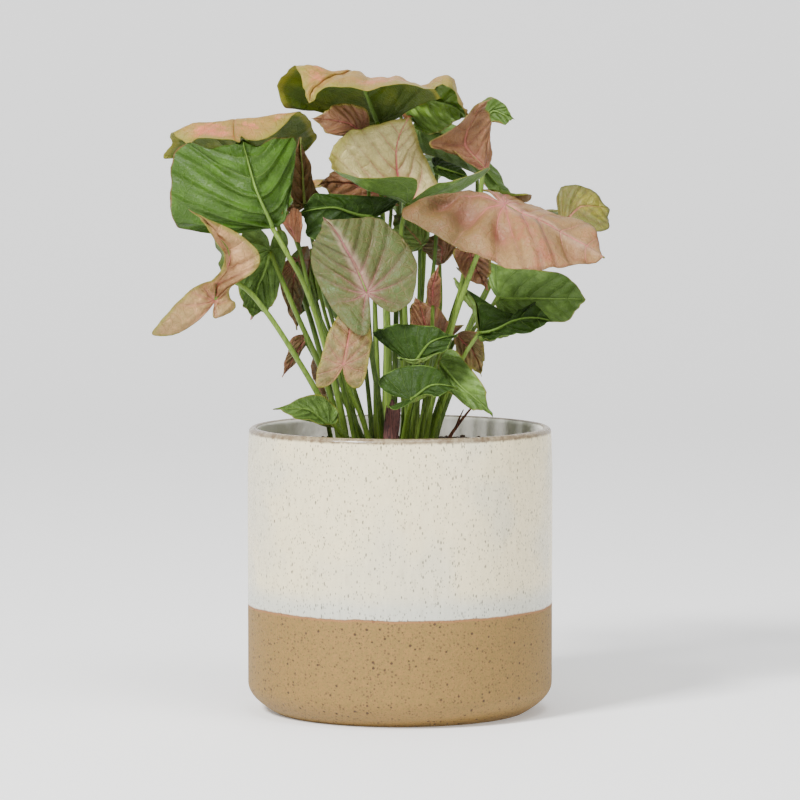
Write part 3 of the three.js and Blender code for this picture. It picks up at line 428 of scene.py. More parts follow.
# Each leaf is a flat arrowhead, laid in space by its control points. size is the midrib from hub to tip in
# mm; half, lobe and spread are the half width, the length and the offset of the basal lobes as shares of
# size, and blunt rounds the tip. foot is where the stalk leaves the compost, bends are points on its way
# up, and the named points are (x, y, z) of the blade: hub, middle and tip of the midrib, the margin at the
# widest place (left, right) and at the shoulders (sleft, sright), the lobe ends (lleft, lright) and the
# inside of each half (cleft, cright). more holds further points as (along, across, x, y, z). upper and
# under name the finishes of the two sides. quilt and swell are how strongly the blade quilts and swells, 1
# being usual, and slope is how far the side veins lean towards the tip. dents are folds as (along, across,
# height in mm, breadth), with a hollow's height below 0. Along, across and breadth are shares of size.
USUAL_ROW = dict(
    half=0.42, lobe=0.2, spread=0.25, blunt=0.1, quilt=1, swell=1, slope=0.4, bends=(), dents=(), more=()
)
LEAVES = (
    dict(
        name="top_hood", upper="salmon", under="olive", size=78, half=0.5, lobe=0.34, spread=0.3, quilt=0.7,
        foot=(-6, 10), bends=((-8, 4, 231),), hub=(-11, 21, 289), mid=(-24, -4, 313), tip=(-44, -30, 299),
        left=(12, -26, 306), right=(-57, 15, 298), sleft=(-17, -31, 306), sright=(-53, -8, 316),
        lleft=(14, 4, 300), lright=(-29, 30, 297), cleft=(-2, -4, 311), cright=(-42, 18, 305),
        more=((0.77, 0.15, -34, -32, 306), (0.77, -0.15, -48, -22, 308), (0.5, -0.2, -40, -8, 315)),
    ),
    dict(
        name="top_fold", upper="salmon", under="bright", size=48, half=0.45, quilt=2.2, foot=(2, 26),
        bends=((-1, 27, 240),), hub=(1, 26, 297), mid=(18, 12, 299), tip=(33, 10, 290), left=(12, 8, 284),
        right=(14, -2, 304), sleft=(25, 6, 287), sright=(24, -6, 305), lleft=(4, 20, 292),
        lright=(4, 20, 301),
        more=((0.25, -0.25, 14, 12, 306), (0.5, -0.22, 25, 6, 311), (0.7, -0.12, 29, 8, 300)),
    ),
    dict(
        name="left_big", upper="salmon", under="satin", size=66, half=0.5, lobe=0.3, spread=0.3, blunt=0.6,
        quilt=1.5, slope=0.05, foot=(-26, -10), bends=((-46, -24, 210), (-56, -32, 229)), hub=(-62, -26, 239),
        mid=(-70, -35, 259), tip=(-77, -3, 280), left=(-53, -20, 255), right=(-111, -34, 251),
        sleft=(-54, -4, 278), sright=(-102, -14, 275), lleft=(-56, -22, 246), lright=(-94, -28, 236),
    ),
    dict(
        name="left_hood", upper="salmon", under="olive", size=74, half=0.5, lobe=0.3, spread=0.38, quilt=0.1,
        swell=0.5, foot=(-30, 18), bends=((-60, 34, 235),), hub=(-69, 36, 264), mid=(-81, 10, 290),
        tip=(-78, -8, 281), left=(-44, 22, 288), right=(-113, 22, 279), sleft=(-53, 6, 291),
        sright=(-104, 0, 279), lleft=(-49, 34, 274), lright=(-107, 34, 269), cleft=(-63, 12, 289),
        cright=(-97, 12, 289),
        more=((0.77, 0.15, -65, -4, 282), (0.77, -0.15, -95, -6, 281)),
    ),
    dict(
        name="cream", upper="cream", under="fresh", size=60, half=0.5, lobe=0.34, spread=0.3, blunt=0.5,
        quilt=0.4, slope=0.9, foot=(4, -4), bends=((1, -2, 239),), hub=(4, -5, 250), mid=(-2, 2, 271),
        tip=(4, 0, 292), left=(-34, -6, 272), right=(24, 0, 255), sleft=(-23, -2, 282), sright=(8, 8, 277),
        lleft=(-12, -24, 263), lright=(28, -21, 262),
        more=(
            (0.2, -0.25, 12, 6, 262), (-0.2, -0.45, 42, -14, 266), (-0.15, 0.45, -30, -14, 265),
            (-0.2, 0.06, 9, -20, 262), (-0.06, -0.3, 22, -8, 252), (-0.02, 0.3, -15, -9, 256),
        ),
    ),
    dict(
        name="right_big", upper="blush", under="olive", size=66, half=0.5, lobe=0.75, spread=0.24, blunt=0.15,
        quilt=0.15, swell=1.2, foot=(10.5, -15),
        bends=((12, -15, 144), (21, -18, 176), (31, -26, 208), (41, -36, 234)), hub=(51, -33, 250),
        mid=(72, -42, 240), tip=(98, -54, 225), left=(63, -10, 249), right=(47, -66, 224),
        sleft=(84, -22, 243), sright=(74, -66, 220), lleft=(58, -14, 254), lright=(3, -40, 250),
        dents=(
            (0.04, -0.3, -6, 0.07), (0.38, -0.22, 5, 0.13), (0.7, -0.12, -4, 0.08), (-0.1, -0.32, 5, 0.08),
            (-0.24, -0.24, -7, 0.07), (-0.36, -0.34, 4, 0.06), (-0.46, -0.2, -5, 0.06),
            (-0.6, -0.25, 3, 0.08),
        ),
        more=(
            (-0.32, -0.48, 22, -60, 230), (-0.32, -0.06, 34, -28, 257), (-0.35, 0.42, 60, -8, 251),
            (0.77, 0.15, 94, -38, 236), (0.77, -0.15, 87, -60, 223),
        ),
    ),
    dict(
        name="right_curl", upper="olive_cream", under="fresh", size=36, half=0.45, lobe=0.25, blunt=0.4,
        quilt=0.4, foot=(17, 9), bends=((52, 20, 208),), hub=(80, -4, 240), mid=(89, 0, 248),
        tip=(103, 4, 247), left=(81, 6, 258), right=(86, -8, 237), sleft=(93, 6, 256), sright=(101, -4, 238),
        lleft=(77, 4, 249), lright=(79, -8, 238),
    ),
    dict(
        name="front_curl", upper="shell", under="olive", size=60, half=0.38, lobe=0.6, spread=0.3, quilt=0.6,
        foot=(-23, -20),
        bends=((-31, -24, 142), (-46, -30, 169), (-65, -36, 199), (-76, -37, 211), (-84, -37, 214)),
        hub=(-89, -50, 205), mid=(-82, -42, 225), tip=(-101, -56, 249), left=(-99, -58, 211),
        right=(-81, -44, 211), sleft=(-84, -54, 227), sright=(-68, -38, 228), lleft=(-116, -66, 189),
        lright=(-83, -50, 198),
        dents=((0.6, 0.05, -4, 0.07), (0.44, 0.08, -3.5, 0.05), (0.5, -0.12, 2.5, 0.06)),
        more=(
            (0.25, 0, -88, -44, 214), (0.75, 0, -89, -47, 237), (0.77, 0.13, -94, -54, 243),
            (0.3, 0.36, -90, -56, 216), (0.77, -0.13, -82, -44, 240), (0.3, -0.36, -70, -40, 218),
            (-0.35, 0.09, -96, -60, 196), (-0.55, 0.15, -106, -64, 188), (-0.3, 0.4, -109, -64, 202),
        ),
    ),
    dict(
        name="front_heart", upper="sage", under="fresh", size=58, half=0.5, lobe=0.42, spread=0.3, quilt=0.35,
        slope=0.8, foot=(-8, -24), bends=((-14, -36, 180),), hub=(-16, -50, 209), mid=(-26, -56, 230),
        tip=(-37, -50, 245), left=(-39, -46, 212), right=(7, -44, 225), sleft=(-42, -44, 232),
        sright=(-13, -40, 245), lleft=(-17, -61, 189), lright=(1, -52, 201),
    ),
    dict(
        name="front_arrow", upper="rose_tan", under="olive", size=42, half=0.36, lobe=0.4, spread=0.24,
        quilt=0.5, foot=(-14, -34), bends=((-24, -48, 161),), hub=(-27, -58, 175), mid=(-24, -51, 193),
        tip=(-24, -47, 207), left=(-37, -56, 181), right=(-14, -56, 183), sleft=(-31, -49, 196),
        sright=(-16, -49, 196), lleft=(-38, -54, 163), lright=(-21, -56, 163),
    ),
    dict(
        name="right_peak", upper="copper_pink", under="bronze", size=52, half=0.4, spread=0.2, quilt=0.5,
        foot=(12, 12), bends=((36, 8, 221),), hub=(41, 4, 267), mid=(32, 8, 282), tip=(45, 20, 301),
        left=(25, -2, 276), right=(44, 14, 280), sleft=(16, -6, 282), sright=(45, 18, 290),
        lleft=(34, 0, 269), lright=(43, 10, 267), more=((0.7, 0.22, 28, -1, 290), (0.85, 0.1, 35, 9, 297)),
    ),
    dict(
        name="peak_back", upper="salmon", under="fresh", size=44, half=0.4, spread=0.2, blunt=0.5, quilt=0.4,
        foot=(13, 31), bends=((37, 50, 229),), hub=(39, 50, 285), mid=(47, 46, 294), tip=(57, 40, 290),
        left=(45, 42, 288), right=(46, 48, 301), sleft=(51, 41, 288), sright=(52, 44, 296),
        lleft=(38, 50, 281), lright=(38, 54, 293),
    ),
    dict(
        name="right_drape", upper="salmon", under="fresh", size=72, lobe=0.15, foot=(8, 32),
        bends=((12, 42, 230),), hub=(10, 40, 286), mid=(34, 30, 274), tip=(60, 18, 244), left=(12, 24, 274),
        right=(28, 50, 286), sleft=(35, 16, 263), sright=(49, 36, 264), lleft=(4, 32, 277),
        lright=(10, 50, 289),
    ),
    dict(
        name="mid_dark", upper="green", under="deep", size=32, foot=(4, 16), bends=((17, 13, 221),),
        hub=(18, 12, 267), mid=(25, 10, 265), tip=(35, 9, 262), left=(22, 8, 262), right=(21, 18, 271),
        sleft=(29, 8, 261), sright=(30, 14, 267),
    ),
    dict(
        name="mid_shelf", upper="green", under="deep", size=62, lobe=0.25, quilt=0.25, foot=(-4, 2),
        bends=((-7, -1, 207),), hub=(-14, 0, 243), mid=(-32, -9, 248), tip=(-50, -8, 245), left=(-7, -1, 253),
        right=(-31, -16, 233), sleft=(-40, -8, 255), sright=(-46, -10, 234), lleft=(-1, 8, 250),
        lright=(-9, -8, 240), more=((0.3, 0.4, -20, -4, 254),),
    ),
    dict(
        name="top_small", upper="copper_pink", under="bronze", size=42, lobe=0.15, spread=0.22, quilt=0.4,
        foot=(-10, 22), bends=((-14, 14, 231),), hub=(-17, 8, 283), mid=(-27, 6, 289), tip=(-44, 4, 291),
        left=(-24, 5, 282), right=(-20, 10, 297), sleft=(-37, 2, 284), sright=(-33, 7, 298),
        lleft=(-16, 7, 280), lright=(-15, 10, 289),
    ),
    dict(
        name="mid_orange", upper="copper_rose", under="bronze", size=30, quilt=0.4, foot=(-22, 2),
        bends=((-43, -10, 203),), hub=(-50, -11, 231), mid=(-54, -14, 239), tip=(-61, -17, 240),
        left=(-57, -11, 241), right=(-48, -17, 245), sleft=(-59, -13, 243), sright=(-53, -17, 248),
        lleft=(-49, -7, 233), lright=(-48, -15, 236),
    ),
    dict(
        name="left_hanging", upper="sage", under="fresh", size=52, half=0.4, lobe=0.34, spread=0.24,
        foot=(-28, 6), bends=((-51, -2, 196),), hub=(-64, 0, 226), mid=(-70, 2, 209), tip=(-73, 2, 192),
        left=(-79, -9, 212), right=(-60, 6, 207), sleft=(-77, -4, 198), sright=(-66, 8, 195),
        lleft=(-74, -5, 239), lright=(-57, 4, 236),
    ),
    dict(
        name="left_brown", upper="copper", under="bronze", size=50, half=0.4, spread=0.2, foot=(-22, 22),
        bends=((-40, 12, 216),), hub=(-47, 6, 249), mid=(-48, 8, 266), tip=(-49, 8, 282), left=(-41, 12, 256),
        right=(-55, 2, 256), sleft=(-45, 10, 271), sright=(-54, 4, 272), lleft=(-40, 12, 249),
        lright=(-53, 2, 245),
    ),
    dict(
        name="mid_brown", upper="copper_pink", under="bronze", size=48, lobe=0.15, foot=(-8, 16),
        bends=((-6, 26, 221),), hub=(-4, 28, 250), mid=(-25, 24, 258), tip=(-41, 20, 258),
        left=(-17, 18, 250), right=(-17, 32, 262), sleft=(-34, 16, 252), sright=(-34, 26, 265),
        lleft=(-3, 22, 248), lright=(-2, 32, 255),
    ),
    dict(
        name="right_bud", upper="copper_pink", under="bronze", size=40, half=0.4, spread=0.2, foot=(8.5, -6),
        bends=((27, -6, 198),), hub=(33, -14, 227), mid=(36, -18, 219), tip=(43, -20, 208),
        left=(44, -10, 225), right=(27, -20, 222), sleft=(44, -14, 215), sright=(33, -22, 213),
    ),
    dict(
        name="mid_young", upper="green", under="dark", size=34, foot=(1, 9), bends=((9, 16, 196),),
        hub=(10, 14, 229), mid=(4, 12, 236), tip=(-4, 12, 244), left=(0, 6, 229), right=(12, 18, 240),
        sleft=(-4, 6, 236), sright=(5, 16, 246),
    ),
    dict(
        name="mid_copper", upper="copper", under="bronze", size=34, lobe=0.15, spread=0.2, foot=(10, 18),
        bends=((20, 30, 195),), hub=(20, 28, 219), mid=(20, 24, 227), tip=(11, 20, 232), left=(14, 18, 223),
        right=(27, 28, 230), sleft=(11, 16, 227), sright=(20, 26, 235),
    ),
    dict(
        name="rolled", upper="copper_pink", under="bronze", size=26, half=0.26, lobe=0.06, spread=0.1,
        foot=(5, -12), bends=((15, -12, 178),), hub=(16, -10, 200), mid=(16, -12, 210), tip=(19, -10, 220),
        left=(13, -10, 204), right=(20, -10, 203), sleft=(14, -12, 213), sright=(20, -10, 212),
    ),
    dict(
        name="left_copper", upper="copper", under="bronze", size=40, half=0.34, lobe=0.34, spread=0.2,
        foot=(-20, 16), bends=((-43, 15, 201),), hub=(-51, 15, 220), mid=(-54, 17, 205), tip=(-51, 19, 186),
        left=(-48, 23, 206), right=(-59, 13, 209), sleft=(-48, 23, 195), sright=(-56, 15, 197),
        lleft=(-46, 19, 228), lright=(-57, 13, 220),
    ),
    dict(
        name="left_dark", upper="green", under="dark", size=38, half=0.4, spread=0.22, foot=(-16, 24),
        bends=((-35, 38, 185),), hub=(-45, 41, 224), mid=(-47, 40, 207), tip=(-51, 38, 191),
        left=(-40, 42, 206), right=(-56, 36, 213), sleft=(-42, 42, 197), sright=(-53, 38, 200),
    ),
    dict(
        name="left_sliver", upper="copper", under="bronze", size=22, half=0.28, lobe=0.12, spread=0.1,
        foot=(-18, 8), bends=((-40, 6, 170),), hub=(-47, 4, 183), mid=(-52, 2, 175), tip=(-58, 0, 164),
        left=(-48, 4, 177), right=(-55, 0, 178), sleft=(-52, 2, 170), sright=(-57, -1, 171),
        lleft=(-45, 6, 184), lright=(-50, 2, 185),
    ),
    dict(
        name="right_low", upper="green", under="fresh", size=44, blunt=0.65, quilt=0.5, foot=(14, 3),
        bends=((36, 4, 187),), hub=(49, 6, 203), mid=(69, -2, 203), tip=(91, -4, 203), left=(61, -8, 193),
        right=(49, 6, 219), sleft=(78, -8, 194), sright=(78, 2, 213), lleft=(49, -2, 197),
        lright=(43, 14, 215),
    ),
    dict(
        name="right_bumpy", upper="green", under="deep", size=40, lobe=0.3, spread=0.22, quilt=1.6, swell=2.5,
        foot=(14.5, -9.5), bends=((33, -18, 179),), hub=(39, -14, 187), mid=(55, -18, 193),
        tip=(75, -22, 193), left=(51, -22, 186), right=(50, -8, 197), sleft=(64, -24, 188),
        sright=(66, -14, 203), lleft=(40, -18, 185), lright=(36, -6, 203),
        more=((-0.1, -0.35, 28, -2, 210), (-0.1, -0.2, 36, -8, 199)),
    ),
    dict(
        name="low_copper", upper="copper_pink", under="bronze", size=38, half=0.4, lobe=0.25, spread=0.22,
        foot=(5, 5), hub=(15, 2, 179), mid=(12, -2, 191), tip=(7, 0, 204), left=(5, -2, 192),
        right=(26, 4, 190), sleft=(5, 0, 200), sright=(18, 2, 200), lleft=(9, 2, 180), lright=(29, 8, 187),
    ),
    dict(
        name="low_brown", upper="rose_tan", under="bronze", size=36, half=0.34, spread=0.2, foot=(9, 0),
        hub=(28, -3, 185), mid=(35, -5, 178), tip=(40, -8, 165), left=(41, -2, 180), right=(31, -8, 172),
        sleft=(42, -5, 173), sright=(35, -10, 168), lleft=(36, -1, 187), lright=(27, -6, 183),
    ),
    dict(
        name="low_green", upper="green", under="deep", size=40, lobe=0.55, spread=0.28, quilt=0.35,
        foot=(3, -28), bends=((6, -40, 163),), hub=(7, -46, 175), mid=(15, -52, 185), tip=(28, -48, 188),
        left=(17, -54, 180), right=(-4, -44, 193), sleft=(24, -52, 184), sright=(16, -46, 192),
        lleft=(-1, -44, 177), lright=(-12, -45, 187),
    ),
    dict(
        name="lowest_green", upper="green", under="deep", size=40, lobe=0.4, spread=0.26, quilt=0.35,
        foot=(1, -36), bends=((3, -44, 146),), hub=(6, -58, 158), mid=(16, -62, 165), tip=(28, -60, 163),
        left=(11, -66, 160), right=(1, -50, 173), sleft=(21, -64, 161), sright=(18, -54, 172),
        lleft=(-5, -62, 154), lright=(-10, -50, 164),
    ),
    dict(
        name="low_fold", upper="green", under="fresh", size=44, half=0.36, lobe=0.15, spread=0.16, quilt=0.6,
        foot=(12, -24), bends=((18, -30, 163),), hub=(19, -35, 174), mid=(29, -43, 163), tip=(45, -50, 149),
        left=(24, -48, 160), right=(32, -38, 174), sleft=(36, -53, 152), sright=(42, -44, 161),
        lleft=(19, -43, 169), lright=(22, -31, 179),
    ),
    dict(
        name="rim_left", upper="green", under="fresh", size=34, spread=0.2, quilt=0.6, foot=(-33, -25),
        hub=(-35, -38, 144), mid=(-45, -46, 152), tip=(-61, -55, 153), left=(-38, -36, 158),
        right=(-44, -52, 147), sleft=(-50, -46, 157), sright=(-52, -54, 149), lleft=(-30, -32, 147),
        lright=(-33, -44, 144),
    ),
)

# Leaves at the back hang plainly: aim is the heading of the midrib, dip its slope and roll its turn about
# itself, in degrees. cup bends the sides up and droop the tip down, and the lobes by LOBE_DROOP of that.
CUP_SLOPE, CUP_CURVE = 1.4, 1.5
LOBE_DROOP = 0.2
PLAIN_ROW = dict(half=0.45, lobe=0.36, spread=0.26, cup=0.12, droop=0.25, roll=0)
PLAIN_LEAVES = (
    dict(
        name="back_far_left", upper="salmon", under="olive", size=56, lobe=0.28, aim=128, dip=-10,
        foot=(-27, 30), hub=(-60, 62, 252),
    ),
    dict(
        name="back_high", upper="sage", under="fresh", size=58, lobe=0.22, aim=88, dip=-18, foot=(-3, 36),
        hub=(0, 60, 266),
    ),
    dict(
        name="back_right", upper="blush", under="olive", size=50, lobe=0.3, aim=46, dip=-8, droop=0.15,
        foot=(14, 24), hub=(62, 42, 240),
    ),
    dict(
        name="back_low_right", upper="sage", under="fresh", size=42, lobe=0.25, aim=66, dip=-8, roll=10,
        foot=(17, 37), hub=(46, 62, 207),
    ),
    dict(
        name="back_middle", upper="cream", under="fresh", size=50, lobe=0.25, aim=98, dip=-30, roll=-8,
        foot=(-14, 40), hub=(-24, 62, 214),
    ),
    dict(
        name="back_low", upper="sage", under="fresh", size=40, aim=84, dip=-34, foot=(6, 44),
        hub=(8, 62, 176),
    ),
    dict(
        name="back_low_left", upper="copper", under="bronze", size=34, aim=116, dip=-30, foot=(-22, 40),
        hub=(-28, 56, 168),
    ),
    dict(
        name="back_top", upper="salmon", under="olive", size=50, lobe=0.22, aim=100, dip=6, droop=0.35,
        foot=(-12, 31), hub=(-14, 48, 293),
    ),
)


# ---------------------------------------------------------------- one leaf

# Where the control points lie on a flat leaf of size 1.
WIDEST_AT = 0.06
SHOULDER_AT = 0.55
SHOULDER_SHARE = 0.66
CHEEK_AT = 0.25
SINUS_AT = -0.05

# The stalk's way up, in mm and as shares of the way from the foot to its first bend.
STALK_FOOT = 122
STALK_UPRIGHT = 131
RISE_ALONG = 0.45
RISE_UP = 0.55
RISE_FROM = 25
STALK_TAPER = 0.78
STALK_FLARE = 0.5

LARGE_LEAF = 52
LARGE_GRADE = dict(outline=(34, 22, 14), rings=40, stalk_radius=1.5, stations=34, sides=12)
SMALL_GRADE = dict(outline=(24, 16, 10), rings=24, stalk_radius=1.2, stations=24, sides=10)
TIP_CROWDING = 1.5
RING_CROWDING = 0.92

# The midrib's ridge on the underside. Its width is a share of the stalk's, its length one of the leaf's size.
RIDGE_WIDTH = 0.72
RIDGE_LENGTH = 0.93
RIDGE_START = 0.8
RIDGE_TAPER, RIDGE_TAPER_POWER = 0.9, 0.8
RIDGE_BELOW_BLADE, RIDGE_BELOW_WIDTH = 0.4, 0.25
RIDGE_STATIONS = 18
RIDGE_SIDES = 8

# What the materials read of a blade: the side veins' phase and spacing, how far the margin and the midrib
# are, and the height of the dents, whose hollows the upper side darkens as painted shade. A further layer,
# flat, holds (along, across) in mm and the leaf's seed.
LAYERS = ("vein", "pitch", "rim", "rib", "dent")
NORMAL_REACH = 0.4
SIDE_VEIN_SPACING = 0.19
SIDE_VEIN_NARROWING = 0.92
SIDE_VEIN_CURVE = 0.5
BASAL_VEIN_TURN = math.radians(31)
MIDRIB_WIDTH, MIDRIB_TAPER = 1.05, 0.8

# Relief of the blade: distances in mm from the midrib or the margin, frequencies per size of the leaf.
CALM_MIDRIB, CALM_MARGIN = 2, 6
QUILT_REACH, FINE_QUILT_REACH, FINE_QUILT_SHARE = 14, 11, 0.6
WIDEST_QUILT = 12
MARGIN_WOBBLE, WOBBLE_FREQUENCY = 0.03, 9
WAVES = ((7, 0.17, 1), (12, 0.31, 0.6))
SWELLS = ((4, 1), (13, 0.35))
SWELL_MIDRIB = 9
EDGE_THINNING, EDGE_POWER = 0.7, 10


def flat_spots(leaf):
    """Where each named control point lies on the flat leaf, as shares of its size."""
    half, lobe, spread = leaf["half"], leaf["lobe"], leaf["spread"]
    return {
        "hub": (0, 0),
        "mid": (0.5, 0),
        "tip": (1, 0),
        "left": (WIDEST_AT, half),
        "right": (WIDEST_AT, -half),
        "sleft": (SHOULDER_AT, half * SHOULDER_SHARE),
        "sright": (SHOULDER_AT, -half * SHOULDER_SHARE),
        "lleft": (-lobe, spread),
        "lright": (-lobe, -spread),
        "cleft": (CHEEK_AT, half * 0.5),
        "cright": (CHEEK_AT, -half * 0.5),
    }


def place_plain_leaf(row):
    """Gives a plain leaf its control points: cupped across, drooping along."""
    leaf = {**USUAL_ROW, **PLAIN_ROW, **row}
    aim, dip = math.radians(leaf["aim"]), math.radians(leaf["dip"])
    along = Vector((math.cos(aim) * math.cos(dip), math.sin(aim) * math.cos(dip), math.sin(dip)))
    level = Vector((-math.sin(aim), math.cos(aim), 0))
    across = Matrix.Rotation(math.radians(leaf["roll"]), 3, along) @ level
    up = along.cross(across)
    hub = Vector(leaf["hub"])
    for spot, (x, y) in flat_spots(leaf).items():
        lift = leaf["cup"] * (CUP_SLOPE * abs(y) + CUP_CURVE * y * y)
        lift -= leaf["droop"] * (x * x + LOBE_DROOP * min(x, 0) ** 2)
        leaf[spot] = tuple(hub + (along * x + across * y + up * lift) * leaf["size"])
    return leaf


def thin_plate(flat, placed):
    """The least bent surface from the flat leaf to space through the control points."""
    flat, placed = np.array(flat, float), np.array(placed, float)

    def bend(points):
        squares = ((points[:, None] - flat[None]) ** 2).sum(-1)
        return np.where(squares > TINY, 0.5 * squares * np.log(np.maximum(squares, TINY)), 0)

    count = len(flat)
    affine = np.column_stack([np.ones(count), flat])
    matrix = np.block([[bend(flat), affine], [affine.T, np.zeros((3, 3))]])
    weights = np.linalg.solve(matrix, np.vstack([placed, np.zeros((3, 3))]))
    return lambda points: bend(points) @ weights[:count] + weights[count] + points @ weights[count + 1:]


def leaf_surface(leaf):
    """The way from flat points of the leaf, in mm, to space."""
    spots = {spot: place for spot, place in flat_spots(leaf).items() if spot in leaf}
    flat = [*spots.values(), *(point[:2] for point in leaf["more"])]
    placed = [*(leaf[spot] for spot in spots), *(point[2:] for point in leaf["more"])]
    return thin_plate(np.array(flat, float) * leaf["size"], placed)


def side_normals(to_space, flat):
    """Unit normals of the upper side."""
    along, across = (to_space(flat + step) - to_space(flat - step) for step in NORMAL_REACH * np.eye(2))
    normals = np.cross(along, across)
    return normals / np.maximum(np.linalg.norm(normals, axis=1, keepdims=True), TINY)


def half_outline(leaf, counts):
    """The margin of the left half from the tip round the lobe to the sinus, on a leaf of size 1.

    Three cubic curves meet at the widest place and at the end of the lobe.
    """
    half, lobe, spread, blunt = (leaf[key] for key in ("half", "lobe", "spread", "blunt"))
    curves = (
        ((1, 0), (0.8, blunt * half), (0.5, half), (WIDEST_AT, half)),
        ((WIDEST_AT, half), (WIDEST_AT - 0.26, half), (-lobe * 1.05, spread * 1.55), (-lobe, spread)),
        ((-lobe, spread), (-lobe * 0.97, spread * 0.45), (-0.14, 0.015), (SINUS_AT, 0)),
    )
    margin = []
    for (a, b, c, d), count, crowding in zip(np.array(curves, float), counts, (TIP_CROWDING, 1, 1)):
        t = (np.arange(count) / count)[:, None] ** crowding
        margin.append((1 - t) ** 3 * a + 3 * t * (1 - t) ** 2 * b + 3 * t * t * (1 - t) * c + t**3 * d)
    return np.vstack([*margin, (SINUS_AT, 0)])


def vein_map(flat, size, slope):
    """The side veins' phase and, in mm, their spacing and the midrib's distance, for flat points of a leaf.

    The midrib narrows towards the tip, so the same distance counts for more there.
    """
    x, across = flat[:, 0], np.abs(flat[:, 1])
    straight = x - SIDE_VEIN_CURVE * across**2
    root = straight - slope * across
    turn = np.arctan2(across, straight) - math.atan2(1, slope)
    reach = np.hypot(across, straight)
    lateral = root > 0
    phase = np.where(lateral, root / SIDE_VEIN_SPACING, -turn / BASAL_VEIN_TURN)
    spacing = np.where(lateral, SIDE_VEIN_SPACING * SIDE_VEIN_NARROWING, reach * BASAL_VEIN_TURN) * size
    narrowing = MIDRIB_WIDTH - MIDRIB_TAPER * np.clip(x, 0, 1)
    midrib = np.hypot(np.minimum(x, 0), across) * size / narrowing
    return phase, spacing, midrib


def blade_relief(leaf, flat, reach, round_margin, rim, veins, seed):
    """How far the blade's middle stands off its surface, and the part of that which its dents make, in mm."""
    plan = settings("foliage")
    size = leaf["size"]
    phase, spacing, midrib = veins
    calm = np.clip(midrib / CALM_MIDRIB, 0, 1) * np.clip(rim / CALM_MARGIN, 0, 1)
    coarse = np.abs(np.sin(np.pi * phase)) * (0.5 + 0.5 * np.exp(-midrib / QUILT_REACH))
    fine = np.abs(np.sin(2 * np.pi * phase)) * FINE_QUILT_SHARE * np.exp(-midrib / FINE_QUILT_REACH)
    rise = plan.quilting * leaf["quilt"] * np.minimum(spacing, WIDEST_QUILT) * (coarse + fine) * calm
    waves = sum(
        share * np.sin(2 * np.pi * (count * round_margin + shift * seed)) for count, shift, share in WAVES
    )
    wave = plan.waving * size * reach**3 * waves * np.abs(np.sin(np.pi * round_margin)) ** 0.5
    swells = [
        sum(share * noise.noise(Vector((x * often, y * often, seed))) for often, share in SWELLS)
        for x, y in flat
    ]
    swell = plan.swelling * leaf["swell"] * size * np.clip(midrib / SWELL_MIDRIB, 0, 1) * np.array(swells)
    dent = np.zeros(len(flat))
    for x, y, height, breadth in leaf["dents"]:
        dent += height * np.exp(-((flat - [x, y]) ** 2).sum(axis=1) / (2 * breadth**2)) * calm
    return rise + wave + swell + dent, dent


def add_blade_side(bm, leaf, grade, to_space, side, seed):
    """One side of the blade, a grid bent into a fan about the hub and laid in space, and its open edges."""
    size, rings = leaf["size"], grade["rings"]
    left = half_outline(leaf, grade["outline"])
    margin = np.vstack([left[::-1] * [1, -1], left[1:]])
    margin *= np.array([
        [1 + MARGIN_WOBBLE * noise.noise(Vector((*spot * WOBBLE_FREQUENCY, seed)))] for spot in margin
    ])
    spokes = len(margin) - 1
    share = (np.arange(rings + 1) / rings) ** RING_CROWDING
    flat = (margin[None] * share[:, None, None]).reshape(-1, 2)
    reach = np.repeat(share, spokes + 1)
    round_margin = np.tile(np.arange(spokes + 1) / spokes, rings + 1)
    rim = (1 - reach) * np.linalg.norm(np.tile(margin, (rings + 1, 1)), axis=1) * size
    veins = vein_map(flat, size, leaf["slope"])
    relief, dent = blade_relief(leaf, flat, reach, round_margin, rim, veins, seed)
    half_thick = settings("foliage").thickness / MM / 2 * (1 - EDGE_THINNING * reach**EDGE_POWER)
    normals = side_normals(to_space, flat * size)
    placed = to_space(flat * size) + normals * (relief + side * half_thick)[:, None]

    made = bmesh.ops.create_grid(bm, x_segments=spokes, y_segments=rings, size=0.5)["verts"]
    layers = [bm.verts.layers.float[key] for key in LAYERS]
    flat_layer = bm.verts.layers.float_vector["flat"]
    phase, spacing, midrib = veins
    for vert in made:
        row = round((vert.co.y + 0.5) * rings) * (spokes + 1) + round((vert.co.x + 0.5) * spokes)
        vert.co = placed[row]
        vert[flat_layer] = (*flat[row] * size, seed)
        for layer, values in zip(layers, (phase, spacing, rim, midrib, dent)):
            vert[layer] = values[row]
    faces = {face for vert in made for face in vert.link_faces}
    for face in faces:
        face.material_index = 0 if side > 0 else 1
    bmesh.ops.remove_doubles(bm, verts=made, dist=WELD)
    return {edge for face in faces if face.is_valid for edge in face.edges if edge.is_boundary}


def stalk_points(leaf, hub):
    """The stalk stands upright in the compost, leans out on the way up and passes through its bends."""
    x, y = leaf["foot"]
    on_the_way = [*leaf["bends"], tuple(hub)]
    next_x, next_y, next_z = on_the_way[0]
    height = next_z - STALK_UPRIGHT
    points = [(x, y, STALK_FOOT), (x, y, STALK_UPRIGHT)]
    if height > RISE_FROM:
        lean_x, lean_y = x + RISE_ALONG * (next_x - x), y + RISE_ALONG * (next_y - y)
        points.append((lean_x, lean_y, STALK_UPRIGHT + RISE_UP * height))
    return points + on_the_way


def new_layered_mesh():
    """A bmesh with the layers that the leaf and stalk materials read."""
    bm = bmesh.new()
    for key in LAYERS:
        bm.verts.layers.float.new(key)
    bm.verts.layers.float_vector.new("flat")
    return bm


